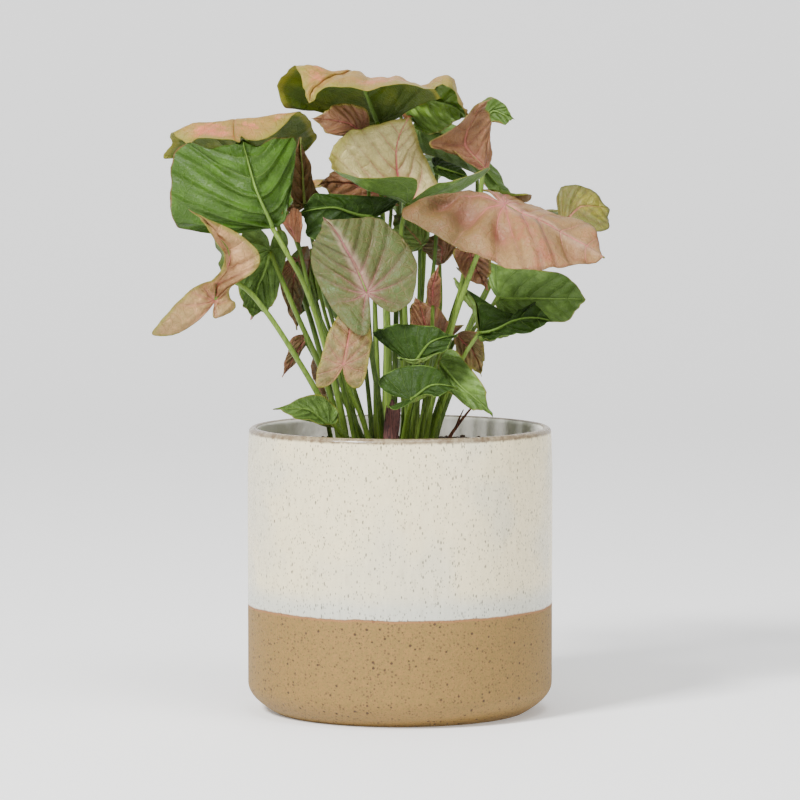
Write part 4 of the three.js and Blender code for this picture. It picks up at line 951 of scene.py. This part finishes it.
def build_leaf(leaf, seed, materials):
    grade = LARGE_GRADE if leaf["size"] >= LARGE_LEAF else SMALL_GRADE
    to_space = leaf_surface(leaf)
    bm = new_layered_mesh()
    edges = set()
    for side in (1, -1):
        edges |= add_blade_side(bm, leaf, grade, to_space, side, seed)
    for face in bmesh.ops.bridge_loops(bm, edges=list(edges))["faces"]:
        face.material_index = 1
    bmesh.ops.recalc_face_normals(bm, faces=bm.faces)

    radius = grade["stalk_radius"]
    share = np.linspace(0, 1, RIDGE_STATIONS)
    along = np.column_stack([share * RIDGE_LENGTH * leaf["size"], np.zeros(RIDGE_STATIONS)])
    widths = radius * RIDGE_WIDTH * (1 - RIDGE_TAPER * share**RIDGE_TAPER_POWER)
    below = settings("foliage").thickness / MM * RIDGE_BELOW_BLADE + widths * RIDGE_BELOW_WIDTH
    ridge = to_space(along) - side_normals(to_space, along) * below[:, None]
    widths[0] *= RIDGE_START
    add_tube(bm, ridge, widths, RIDGE_SIDES, seed, material=1)
    stations = smooth_path(stalk_points(leaf, ridge[0]), grade["stations"])
    radii = tube_radii(stations, radius, radius * STALK_TAPER, STALK_FLARE)
    add_tube(bm, stations, radii, grade["sides"], seed, material=2)
    node = "leaf_" + leaf["name"]
    slot = next(part["material_slot"] for part in frame["record"]["subparts"] if part["node"] == node)
    sides = materials[leaf["upper"]], materials[leaf["under"]], materials["stalk"]
    piece_from(bm, "arrow_" + node, sides, node)


# ---------------------------------------------------------------- leaf finishes

# Each finish names its colours in the settings. flesh is the ground, and clouds is the colour that drifts
# over a cloud_share of it, as strongly as cloudy says. margin colours the edge, band mm wide. vein is the
# colour of the veins. On the upper side, flush is how far it spreads around the main veins, lines and rib
# are how strongly it marks the side veins and the midrib away from the hub, glow is the pale light beside
# the midrib, groove_depth_and_shade is how deep the blade lies beside its veins and how dark the painted
# shade there is, spots is how strong the brown spots are, and lobes holds the colour of the basal lobes and
# its share, which on the blush finish is partly painted shade. On the underside, veins is how far the veins
# stand out, ridges is how high the blade bulges beside them, and gloss and roughness are its shine.
USUAL_UPPER = dict(
    cloudy=0.7, margin="olive_cream", vein="vein_pink", lines=0.15, rib=0, glow=0, groove_depth_and_shade=0.4, spots=0,
    lobes=(),
)
UPPER_FINISHES = {
    "salmon": dict(flesh="salmon", clouds="olive_cream", cloud_share=0.45, band=5, flush=0.14, groove_depth_and_shade=0.1),
    # The blush leaf's lobes are darkened with bronze, partly their own browner tone and partly painted shade.
    "blush": dict(
        flesh="blush", clouds="rose_tan", cloud_share=0.4, margin="copper", band=0.9, flush=0.5, lines=0.45,
        rib=0.85, glow=0.3, groove_depth_and_shade=0.6, spots=0.4, lobes=("bronze", 0.8),
    ),
    "rose_tan": dict(flesh="rose_tan", clouds="moss", cloud_share=0.38, band=1.8, flush=0.22, spots=0.5),
    "shell": dict(
        flesh="shell", clouds="rose_tan", cloud_share=0.35, band=3, flush=0.45, spots=0.2,
        lobes=("moss", 0.25),
    ),
    "cream": dict(
        flesh="cream", clouds="olive_cream", cloud_share=0.35, cloudy=0.3, band=4, flush=0.6, lines=0.75,
        rib=0.8,
    ),
    "sage": dict(
        flesh="sage", clouds="moss", cloud_share=0.45, margin="moss", band=2.5, flush=0.4, vein="mauve_vein_and_dent_shade",
        lines=0.02, rib=0.6, glow=0.4, groove_depth_and_shade=0.6, spots=0.15,
    ),
    "olive_cream": dict(
        flesh="olive_cream", clouds="moss", cloud_share=0.25, margin="moss", band=1.5, flush=0.06, spots=0.2
    ),
    "copper": dict(
        flesh="copper", clouds="moss", cloud_share=0.3, margin="copper_pink", band=1.5, flush=0.12
    ),
    "copper_pink": dict(flesh="copper_pink", clouds="copper", cloud_share=0.4, band=1.2, flush=0.2),
    "copper_rose": dict(
        flesh="copper_rose", clouds="copper_pink", cloud_share=0.3, margin="copper_pink", band=1.2, flush=0.14
    ),
    "green": dict(flesh="dark", clouds="fresh", cloud_share=0.4, margin="olive", band=1.2, flush=0.04),
}
USUAL_UNDER = dict(
    clouds="dark", cloudy=0.6, margin="olive_cream", vein="vein_pale", ridges=0.35, roughness=0.42
)
UNDER_FINISHES = {
    "fresh": dict(flesh="fresh", cloud_share=0.4, band=0.6, veins=1, roughness=0.34, gloss=0.35),
    "satin": dict(
        flesh="satin", cloud_share=0.3, margin="copper", band=0.45, veins=1.3, ridges=1, roughness=0.32,
        gloss=0.3,
    ),
    "bright": dict(
        flesh="bright", clouds="fresh", cloud_share=0.3, band=0.8, veins=0.9, ridges=1.1, roughness=0.26,
        gloss=0.8,
    ),
    "dark": dict(
        flesh="dark", clouds="fresh", cloud_share=0.3, margin="copper", band=0.8, veins=0.4, gloss=0.2
    ),
    "deep": dict(
        flesh="deep", cloud_share=0.4, margin="fresh", band=0.35, veins=0.6, roughness=0.36, gloss=0.18
    ),
    "olive": dict(flesh="olive", cloud_share=0.25, band=3.2, veins=0.6, gloss=0.25),
    "bronze": dict(
        flesh="bronze", clouds="copper", cloud_share=0.5, margin="copper_pink", band=1, veins=0.5, gloss=0.3
    ),
}
MAIN_COLOURS = ("flesh", "clouds", "margin", "vein")
CLOUD_EDGE = 0.24


def vein_masks(shader):
    """The midrib's distance, then the midrib, the side veins, their soft surroundings and the net, 0 to 1."""
    phase, pitch, rib = (shader.attribute(key) for key in ("vein", "pitch", "rib"))
    where = shader.place()
    lateral = phase.to_nearest_whole() * pitch
    ribs = rib.fade(0.5, 1.1)
    laterals = lateral.fade(0.12, 0.42) * (rib.fade(3, 30) * 0.75 + 0.25)
    surround = lateral.smaller(rib).fade(0.2, 3.4)
    coarse = shader.cells(where, 0.23, "Distance", "DISTANCE_TO_EDGE").fade(0.015, 0.07)
    fine = shader.cells(where, 0.62, "Distance", "DISTANCE_TO_EDGE").fade(0.02, 0.09)
    return rib, ribs, laterals, surround, coarse.larger(fine * 0.5)


def blade_noises(shader, drift, mottle, grain):
    """A slow drift over the blade, its mottling and its fine grain, of the given scales."""
    where = shader.place()
    return shader.noise(where, drift, 3), shader.noise(where, mottle, 4, 0.65), shader.noise(where, grain, 2)


def clouds_over(finish, drift, mottle, level, raggedness):
    """The mask of the clouds on a blade: where drift and mottling fall below a level."""
    threshold = level - 0.3 * finish["cloud_share"]
    clouded = (drift + (mottle - 0.5) * raggedness).fade(threshold, threshold - CLOUD_EDGE)
    return clouded * finish["cloudy"]


def margin_band(shader, finish, drift, unevenness, full, none):
    """The mask of the coloured margin: full and none are the shares of its width where it fades out."""
    rim = shader.attribute("rim") + (drift - 0.5) * unevenness
    return rim.fade(finish["band"] * full, finish["band"] * none) * 0.8


def upper_material(name, chosen):
    plan = settings("foliage")
    finish = {**USUAL_UPPER, **chosen}
    flesh, clouds, margin, vein = (getattr(plan, finish[key]) for key in MAIN_COLOURS)
    shader = Shader("leaf_upper_" + name, Specular_IOR_Level=0.35)
    flat = shader.attribute("flat", "Vector")
    rib, ribs, laterals, surround, net = vein_masks(shader)
    drift, mottle, grain = blade_noises(shader, 0.055, 0.32, 2.2)

    colour = shader.coated(
        flesh,
        (clouds_over(finish, drift, mottle, 0.68, 0.5), clouds),
        (margin_band(shader, finish, drift, 6, 0.3, 1.5), margin),
        (grain.fade(0.62, 0.46) * 0.28, clouds),
    )
    # The basal lobes take a tint. On the blush finish it is partly painted shade.
    if finish["lobes"]:
        tint, share = finish["lobes"]
        lobes = (shader.part(flat, 0) + (drift - 0.5) * 20).fade(-26, 8)
        colour = shader.mix(lobes * share, colour, getattr(plan, tint))
    near_hub = shader.length(shader.scaled(flat, 1, 1, 0)).fade(3, 36)
    halo = (surround * 0.5 + rib.fade(1, 9) * 0.5) * near_hub * finish["flush"]
    lines, rib_share = finish["lines"], max(finish["rib"], finish["flush"])
    colour = shader.coated(
        colour,
        # The hollows of the dents are darkened with mauve: painted shade.
        (shader.attribute("dent").fade(-5, 0) * 0.22, plan.mauve_vein_and_dent_shade),
        (halo, vein),
        (rib.fade(0.4, 6) * (mottle * 0.8 + 0.5) * finish["glow"], plan.glow),
        (net * 0.07, plan.vein_pink),
        (laterals * (near_hub * (0.95 - lines) + lines) * rib_share, vein),
        (ribs * (near_hub * 0.4 + rib_share), vein),
    )
    if finish["spots"]:
        colour = shader.mix(shader.specks(0.55, 0.34, 0.16) * finish["spots"], colour, plan.bronze)
    # The blade is darkened beside its veins: painted shade in the grooves, as deep as the bump there.
    groove_depth_and_shade = finish["groove_depth_and_shade"]
    painted_groove_shade = surround * (1 - laterals) * (1 - ribs) * (1 - near_hub * 0.7) * (groove_depth_and_shade * 0.35)
    colour = shader.shaded(colour, mottle.fade(0.3, 0.75) * 0.2 + grain * 0.12 - painted_groove_shade + 0.88)
    shader.bump(mottle * 0.8 + grain * 0.1 - ribs * 0.4 - laterals * 0.3 - surround * groove_depth_and_shade - net * 0.2)
    return shader.finish(colour, mottle * 0.18 + 0.36)


def under_material(name, chosen):
    plan = settings("foliage")
    finish = {**USUAL_UNDER, **chosen}
    flesh, clouds, margin, vein = (getattr(plan, finish[key]) for key in MAIN_COLOURS)
    shader = Shader("leaf_under_" + name, Specular_IOR_Level=finish["gloss"])
    _, ribs, laterals, surround, net = vein_masks(shader)
    drift, mottle, grain = blade_noises(shader, 0.07, 0.4, 2.4)
    colour = shader.coated(
        flesh,
        (clouds_over(finish, drift, mottle, 0.64, 0.4), clouds),
        (net * finish["veins"] * 0.1, vein),
        (laterals * finish["veins"] * 0.34, vein),
        (ribs * (finish["veins"] * 0.5 + 0.3), vein),
        (margin_band(shader, finish, drift, 2, 0.5, 1.4), margin),
    )
    # The blade is darkened beside its veins: painted shade.
    colour = shader.shaded(colour, mottle * 0.3 + grain * 0.14 - surround * (1 - laterals) * 0.12 + 0.82)
    relief = (ribs + laterals) * 0.5 + surround * finish["ridges"] + net * 0.2
    shader.bump(relief + mottle * 0.7 + grain * 0.05)
    return shader.finish(colour, mottle * 0.16 + finish["roughness"])


def stalk_material():
    plan = settings("foliage")
    shader = Shader("leaf_stalk", Specular_IOR_Level=0.22)
    drift = shader.noise(shader.place(), 0.06, 2)
    fibres = shader.noise(shader.place(z=0.06), 1.6, 3)
    flat = shader.attribute("flat", "Vector")
    # Each stalk is darker by a share picked from its seed.
    along, seed_tone = shader.part(flat, 0), (shader.part(flat, 2) * 0.61).math("FRACT")
    colour = shader.coated(
        plan.stalk_pale,
        (fibres.fade(0.62, 0.42) * 0.5 + seed_tone * 0.5, plan.stalk),
        (along.fade(2, 16) * drift * 0.5, plan.bronze),
    )
    shader.bump(fibres * 0.16)
    return shader.finish(shader.shaded(colour, drift * 0.3 - seed_tone * 0.5 + 0.98), fibres * 0.15 + 0.36)


# ---------------------------------------------------------------- planter

# The profile, in mm: the outer wall is straight up to BELOW_RIM under the rim, the inner wall has rings at
# INNER_LEVELS, and COVE rounds the inner corner by points (inwards from the wall, up from the floor).
PLANTER_SIDES = 144
ROUND_STEPS = 13
WALL_LEVELS = 6
BELOW_RIM = 20
INNER_LEVELS = (100, 60)
COVE = ((0, 6), (2, 1.5), (6, 0))

# The clay shows on the rim from LIP_DROP under its top, and fades out over LIP_FADE below that, in mm.
LIP_DROP = 1.8
LIP_FADE = 1.4


def planter_material():
    plan = settings("planter")
    shader = Shader("planter_glaze_and_clay")
    here = shader.place()
    height, radius = shader.part(here, 2), shader.length(shader.scaled(here, 1, 1, 0))
    drift = shader.noise(here, 0.022, 2)
    fine = shader.noise(here, 0.9, 4, 0.6)
    ragged = shader.noise(here, 0.35, 3, 0.6)
    runs = shader.noise(shader.place(z=0.22), 0.55, 3, 0.6)
    lumps = shader.noise(here, 0.12, 2)
    sand = shader.noise(here, 2.6, 2, 0.7)

    inner, floor = (plan.rim_radius - plan.wall) / MM, plan.floor / MM
    over_line = height - plan.glaze_line / MM + (drift - 0.5) * 3.2 + (ragged - 0.5) * 0.9
    inside = radius.fade(inner + 0.5, inner + 2) * height.fade(floor - 0.2, floor - 0.8)
    glazed = over_line.fade(0.3, -0.2).larger(inside)
    lip_height = plan.height / MM - LIP_DROP
    outside = radius.fade(inner + 1.1, inner + 0.5)
    lip = (height + (ragged - 0.5) * 1.6).fade(lip_height, lip_height - LIP_FADE) * outside
    glaze = shader.coated(
        plan.glaze,
        (over_line.fade(3, 15) * 0.9, plan.glaze_thin),
        (drift.fade(0.62, 0.42) * 0.4, plan.glaze_thin),
        (runs.fade(0.62, 0.38) * 0.07, plan.glaze_speck),
        (shader.specks(0.33, 0.45, 0.6, upright=0.3) * 0.12, plan.rim),
        (shader.specks(0.7, 0.37, 0.75, upright=0.45) * 0.75, plan.glaze_speck),
        (shader.specks(1.15, 0.45, 0.8, upright=0.5) * 0.6, plan.glaze_speck),
        (shader.specks(0.16, 0.12, 0.3, upright=0.7) * 0.85, plan.clay_speck),
        # The inner wall turns whiter: painted light over its shade.
        (inside * 0.85, plan.inner_glaze_painted_light),
        (lip * (ragged.fade(0.7, 0.3) * 0.25 + 0.7), plan.rim),
    )

    grains, pits = shader.specks(0.6, 0.45, 0.8), shader.specks(0.34, 0.3, 0.75)
    clay = shader.coated(
        plan.clay,
        (fine.fade(0.65, 0.35) * 0.25, plan.clay_edge),
        (grains * 0.65, plan.clay_speck),
        (shader.specks(0.95, 0.5, 0.9) * 0.45, plan.clay_speck),
        (pits * 0.9, plan.clay_speck),
    )
    clay = shader.shaded(clay, sand * 0.7 + fine * 0.5 + drift * 0.12 + 0.37)
    edge = abs(over_line + 0.35).fade(0.1, 1.2)
    colour = shader.coated(clay, (glazed, glaze), (edge * 0.6, plan.clay_edge))

    bare = 1 - glazed
    shader.bump(glazed * (lumps * 0.5 + 0.25) + bare * (fine * 0.35 - grains * 0.05 - pits * 0.3))
    return shader.finish(colour, bare * (fine * 0.1 + 0.62) + glazed * (ragged * 0.1 + inside * 0.5 + 0.22))


def build_planter():
    """One turned wall with a rounded foot corner, a rounded rim and a coved inner floor."""
    plan = settings("planter")
    keys = ("radius", "height", "foot_radius", "corner", "rim_radius", "wall", "floor")
    radius, height, foot, corner, rim, wall, floor = (getattr(plan, key) / MM for key in keys)
    lip, inner = wall / 2, rim - wall
    profile = [(0, 0), (foot * 0.5, 0)]
    profile += [
        (radius - (radius - foot) * (1 - t) ** 2, t * corner) for t in np.linspace(0, 1, ROUND_STEPS)
    ]
    profile += [(radius, level) for level in np.linspace(corner, height - BELOW_RIM, WALL_LEVELS)[1:]]
    profile += [
        (rim - lip + lip * math.cos(turn), height - lip + lip * math.sin(turn))
        for turn in np.linspace(0, math.pi, ROUND_STEPS)
    ]
    profile += [(inner, level) for level in INNER_LEVELS]
    profile += [(inner - inwards, floor + up) for inwards, up in COVE]
    profile += [(inner * 0.5, floor), (0, floor)]

    bm = bmesh.new()
    verts, edges = chain(bm, [(x, 0, z) for x, z in profile])
    bmesh.ops.spin(
        bm, geom=[*verts, *edges], axis=(0, 0, 1), cent=(0, 0, 0), angle=math.tau, steps=PLANTER_SIDES,
        use_merge=True,
    )
    bmesh.ops.remove_doubles(bm, verts=bm.verts, dist=WELD)
    bmesh.ops.recalc_face_normals(bm, faces=bm.faces)
    piece_from(bm, "two_tone_planter", (planter_material(),), "planter")


# ---------------------------------------------------------------- compost

COMPOST_CUTS = 110

# Lumps of the surface as (how many in a mm, share of the relief), and how far it sinks as a share of it.
LUMPS = ((0.09, 0.55), (0.31, 0.275), (0.9, 0.35))
SINKING = 0.35

# Crumbs stay CRUMB_CLEARANCE mm clear of the wall. CRUMB_SIZES are shares of the middling size, CRUMB_TILT is
# in radians, and the others are shares of the crumb.
CRUMB_SEED = 5
CRUMB_CLEARANCE = 3
CRUMB_SIZES, CRUMB_WIDTHS, CRUMB_HEIGHTS = (0.4, 1.5), (0.5, 0.9), (0.4, 0.7)
CRUMB_TILT = 0.5
CRUMB_RAISED = 0.25
CRUMB_DENT = 0.16


def compost_material():
    plan = settings("compost")
    shader = Shader("damp_compost")
    lumps = shader.noise(shader.place(), 0.5, 5, 0.7)
    fibres = shader.noise(shader.place(x=0.25), 1.4, 3)
    colour = shader.coated(
        plan.dark, (lumps.fade(0.62, 0.42), plan.light), (fibres.fade(0.72, 0.6) * 0.6, plan.light)
    )
    shader.bump(lumps * 0.9 + fibres * 0.2)
    return shader.finish(colour, lumps * 0.2 + 0.72)


def compost_height(x, y):
    """How far the surface stands above or below its level, in mm."""
    relief = settings("compost").relief / MM
    lumps = sum(share * noise.noise(Vector((x, y, 0)) * often) for often, share in LUMPS)
    return relief * (lumps - SINKING)


def add_crumb(bm, chance, radius, level):
    """One dented crumb that lies flat on the surface, at a place picked by chance."""
    turn, reach = chance.uniform(0, math.tau), math.sqrt(chance.random()) * (radius - CRUMB_CLEARANCE)
    x, y = reach * math.cos(turn), reach * math.sin(turn)
    size = settings("compost").crumb_size / MM * chance.uniform(*CRUMB_SIZES)
    shape = (
        Matrix.Translation((x, y, level + compost_height(x, y) + size * CRUMB_RAISED))
        @ Matrix.Rotation(chance.uniform(0, math.tau), 4, "Z")
        @ Matrix.Rotation(chance.uniform(-CRUMB_TILT, CRUMB_TILT), 4, "X")
    )
    width, height = size * chance.uniform(*CRUMB_WIDTHS), size * chance.uniform(*CRUMB_HEIGHTS)
    shape @= Matrix.Diagonal((size, width, height, 1))
    for vert in bmesh.ops.create_icosphere(bm, subdivisions=1, radius=1, matrix=shape)["verts"]:
        vert.co += Vector([chance.uniform(-1, 1) for _ in range(3)]) * size * CRUMB_DENT


def build_compost():
    """A lumpy disc, made round from a square grid, on a skirt down into the planter, with loose crumbs."""
    radius, level = SOIL_HIGH.x / MM, SOIL_HIGH.z / MM
    bm = bmesh.new()
    grid = bmesh.ops.create_grid(bm, x_segments=COMPOST_CUTS, y_segments=COMPOST_CUTS, size=1)
    for vert in grid["verts"]:
        u, v = vert.co.x, vert.co.y
        x = u * math.sqrt(1 - v * v / 2) * radius
        y = v * math.sqrt(1 - u * u / 2) * radius
        vert.co = (x, y, level + compost_height(x, y))
    for vert in extruded(bm, [edge for edge in bm.edges if edge.is_boundary]):
        vert.co.z = SOIL_LOW.z / MM
    bmesh.ops.contextual_create(bm, geom=[edge for edge in bm.edges if edge.is_boundary])

    chance = random.Random(CRUMB_SEED)
    for _ in range(settings("compost").crumbs):
        add_crumb(bm, chance, radius, level)
    bmesh.ops.recalc_face_normals(bm, faces=bm.faces)
    piece_from(bm, "potting_compost", (compost_material(),), "soil")


# ---------------------------------------------------------------- dry parts

SHEATH_FOOT = (-5, -34)
SHEATH_FOOT_RADIUS = 2
SHEATH_RADIUS = 3.7
SHEATH_SWELL = 0.7 * math.pi
SHEATH_HEIGHT = 33
SHEATH_LEAN = 2
SHEATH_FLATTEN = 0.5
SHEATH_THICKNESS = 0.22
SHEATH_AROUND, SHEATH_ALONG = 22, 26
SHEATH_WRAP, SHEATH_OPENING = 320, 70
SHEATH_CRINKLE = 0.1
SHEATH_CORNERS, SHEATH_TEARS = 0.3, 0.12

# A stem's or spur's points, its radii at the foot and the end, and its stations.
TWIG = (
    (((24, 22, 122), (24, 22, 131), (29, 23, 139), (37, 24, 149)), 1.15, 0.5, 22),
    (((27.5, 22.8, 136.5), (29, 21.6, 141), (31.5, 21, 146.5)), 0.7, 0.28, 14),
)
TWIG_SIDES = 10
TWIG_KNOTS, TWIG_KNOT_STEP = 0.22, 0.35


def dry_material(name, ground, lines, roughness):
    shader = Shader(name)
    fibres = shader.noise(shader.place(z=0.12), 1.8, 4, 0.65)
    spots = shader.noise(shader.place(), 0.5, 3)
    shader.bump(fibres * 0.3)
    colour = shader.mix(fibres.fade(0.6, 0.42), ground, lines)
    return shader.finish(shader.shaded(colour, spots * 0.4 + 0.75), spots * 0.1 + roughness)


def build_sheath():
    """A papery sleeve, wrapped most of the way round, that widens up to its torn edge."""
    plan = settings("dry")
    bm = bmesh.new()
    grid = bmesh.ops.create_grid(bm, x_segments=SHEATH_AROUND, y_segments=SHEATH_ALONG, size=0.5)
    for vert in grid["verts"]:
        wrap, rise = vert.co.x, vert.co.y + 0.5
        crinkle = noise.noise(Vector((wrap * 5, rise * 6, 3)))
        torn = noise.noise(Vector((wrap * 14, 0.5, 7)))
        radius = SHEATH_FOOT_RADIUS + (SHEATH_RADIUS - SHEATH_FOOT_RADIUS) * math.sin(SHEATH_SWELL * rise)
        radius *= 1 + SHEATH_CRINKLE * crinkle
        turn = wrap * math.radians(SHEATH_WRAP - SHEATH_OPENING * rise) - math.pi / 2
        vert.co = (
            SHEATH_FOOT[0] + radius * math.cos(turn) + SHEATH_LEAN * rise * rise,
            SHEATH_FOOT[1] + radius * math.sin(turn) * SHEATH_FLATTEN,
            STALK_FOOT + SHEATH_HEIGHT * rise * (1 - SHEATH_CORNERS * abs(wrap) + SHEATH_TEARS * torn),
        )
    bmesh.ops.solidify(bm, geom=bm.faces[:], thickness=SHEATH_THICKNESS)
    bmesh.ops.recalc_face_normals(bm, faces=bm.faces)
    material = dry_material("dry_sheath", plan.sheath, plan.sheath_dark, 0.66)
    piece_from(bm, "papery_sheath", (material,), "basal_sheath")


def build_twig():
    """A knotty forked stub: a stem and its spur."""
    plan = settings("dry")
    bm = new_layered_mesh()
    for points, start, end, count in TWIG:
        stations = smooth_path(points, count)
        steps = [TWIG_KNOT_STEP * i for i in range(count)]
        knots = [1 + TWIG_KNOTS * noise.noise(Vector((step, start, 0))) for step in steps]
        add_tube(bm, stations, tube_radii(stations, start, end) * np.array(knots), TWIG_SIDES, seed=0)
    bmesh.ops.recalc_face_normals(bm, faces=bm.faces)
    material = dry_material("dry_stub", plan.twig, plan.twig_dark, 0.8)
    piece_from(bm, "forked_stub", (material,), "dry_twig")


# ---------------------------------------------------------------- stage

# In metres: the floor's front edge, where it starts to rise, and the height of the backdrop.
FLOOR_FRONT, FLOOR_BEND, BACKDROP_TOP = -4, 1.6, 4
FLOOR_WIDTH = 8
BEND_RADIUS, BEND_STEPS = 1, 17

# The lights as (name, width, place), all turned to the same spot.
SOFTBOXES = (("key", 0.6, (-1.4, -1.6, 2)), ("fill", 1.6, (1.6, -1.7, 0.7)), ("top", 1, (0.4, -0.6, 2.2)))
LIGHT_TARGET = Vector((0, 0, 0.15))


def set_up(name, data, place, turn):
    """A lamp or a camera, placed and turned, in the scene."""
    made = bpy.data.objects.new(name, data)
    made.location = place
    made.rotation_euler = turn
    bpy.context.scene.collection.objects.link(made)
    return made


def add_softbox(name, power, size, place):
    """A square area light at the place, turned to the plant."""
    light = bpy.data.lights.new(name, "AREA")
    light.energy = power
    light.size = size
    set_up(name, light, place, (LIGHT_TARGET - Vector(place)).to_track_quat("-Z", "Y").to_euler())


def build_floor(colour):
    """A pale floor that bends up into the backdrop, shown but no part of the plant."""
    bm = bmesh.new()
    profile = [(FLOOR_FRONT, 0)] + [
        (FLOOR_BEND + BEND_RADIUS * math.sin(turn), BEND_RADIUS * (1 - math.cos(turn)))
        for turn in np.linspace(0, math.pi / 2, BEND_STEPS)
    ]
    profile.append((FLOOR_BEND + BEND_RADIUS, BACKDROP_TOP))
    edges = chain(bm, [(-FLOOR_WIDTH / 2, y, z) for y, z in profile])[1]
    bmesh.ops.translate(bm, vec=(FLOOR_WIDTH, 0, 0), verts=extruded(bm, edges))
    bmesh.ops.recalc_face_normals(bm, faces=bm.faces)
    shader = Shader("pale_floor", Emission_Color=(1, 1, 1, 1), Emission_Strength=0.2)
    shade = shader.noise(shader.place(MM, MM, MM), 1.5, 2)
    material = shader.finish(shader.mix(shade * 0.02, colour, (0.9, 0.9, 0.9)), 0.7)
    object_from(bm, "pale_floor", (material,))


def build_stage():
    plan = settings("stage")
    build_floor(plan.floor)
    world = bpy.data.worlds.new("even_light")
    world.use_nodes = True
    world.node_tree.nodes["Background"].inputs["Color"].default_value = (1, 1, 1, 1)
    world.node_tree.nodes["Background"].inputs["Strength"].default_value = plan.sky
    bpy.context.scene.world = world
    for name, size, place in SOFTBOXES:
        add_softbox(name + "_light", getattr(plan, name + "_power"), size, place)

    camera = bpy.data.cameras.new("view")
    camera.lens = plan.lens
    camera.clip_end = 100
    place = (0, -plan.camera_distance, plan.camera_height)
    bpy.context.scene.camera = set_up("view", camera, place, (math.pi / 2 - plan.camera_pitch, 0, 0))


# ---------------------------------------------------------------- add-on


class ARROWHEAD_OT_stage(bpy.types.Operator):
    """Add the floor, the lights and the camera"""

    bl_idname = "arrowhead.stage"
    bl_label = "Stage"

    def execute(self, context):
        build_stage()
        return {"FINISHED"}


class ARROWHEAD_OT_planter(bpy.types.Operator):
    """Build the glazed planter with its bare clay foot"""

    bl_idname = "arrowhead.planter"
    bl_label = "Planter"

    def execute(self, context):
        build_planter()
        return {"FINISHED"}


class ARROWHEAD_OT_compost(bpy.types.Operator):
    """Fill the planter with crumbly compost"""

    bl_idname = "arrowhead.compost"
    bl_label = "Compost"

    def execute(self, context):
        build_compost()
        return {"FINISHED"}


class ARROWHEAD_OT_leaves(bpy.types.Operator):
    """Build every leaf with its stalk"""

    bl_idname = "arrowhead.leaves"
    bl_label = "Leaves"

    def execute(self, context):
        materials = {"stalk": stalk_material()}
        materials.update((name, upper_material(name, finish)) for name, finish in UPPER_FINISHES.items())
        materials.update((name, under_material(name, finish)) for name, finish in UNDER_FINISHES.items())
        leaves = [{**USUAL_ROW, **row} for row in LEAVES] + [place_plain_leaf(row) for row in PLAIN_LEAVES]
        for seed, leaf in enumerate(leaves):
            build_leaf(leaf, seed, materials)
        return {"FINISHED"}


class ARROWHEAD_OT_dry_parts(bpy.types.Operator):
    """Build the papery sheath and the dry forked stub at the foot of the stalks"""

    bl_idname = "arrowhead.dry_parts"
    bl_label = "Dry parts"

    def execute(self, context):
        build_sheath()
        build_twig()
        return {"FINISHED"}


SETTINGS = {
    "planter": PlanterSettings,
    "compost": CompostSettings,
    "foliage": FoliageSettings,
    "dry": DryPartSettings,
    "stage": StageSettings,
}
OPERATORS = (
    ARROWHEAD_OT_stage,
    ARROWHEAD_OT_planter,
    ARROWHEAD_OT_compost,
    ARROWHEAD_OT_leaves,
    ARROWHEAD_OT_dry_parts,
)


class ARROWHEAD_PT_panel(bpy.types.Panel):
    bl_label = "Arrowhead plant"
    bl_idname = "ARROWHEAD_PT_panel"
    bl_space_type = "VIEW_3D"
    bl_region_type = "UI"
    bl_category = "Arrowhead"

    def draw(self, context):
        for operator in OPERATORS:
            self.layout.operator(operator.bl_idname)
        for group, cls in SETTINGS.items():
            box = self.layout.box()
            box.label(text=group.capitalize())
            for prop in cls.__annotations__:
                box.prop(settings(group), prop)


CLASSES = (*SETTINGS.values(), *OPERATORS, ARROWHEAD_PT_panel)


def register():
    for cls in CLASSES:
        bpy.utils.register_class(cls)
    for group, cls in SETTINGS.items():
        setattr(bpy.types.Scene, "arrowhead_" + group, bpy.props.PointerProperty(type=cls))


def unregister():
    for group in SETTINGS:
        delattr(bpy.types.Scene, "arrowhead_" + group)
    for cls in reversed(CLASSES):
        bpy.utils.unregister_class(cls)


def main():
    register()
    bpy.ops.arrowhead.stage()
    bpy.ops.arrowhead.planter()
    bpy.ops.arrowhead.compost()
    bpy.ops.arrowhead.leaves()
    bpy.ops.arrowhead.dry_parts()


if __name__ == "__main__":
    main()
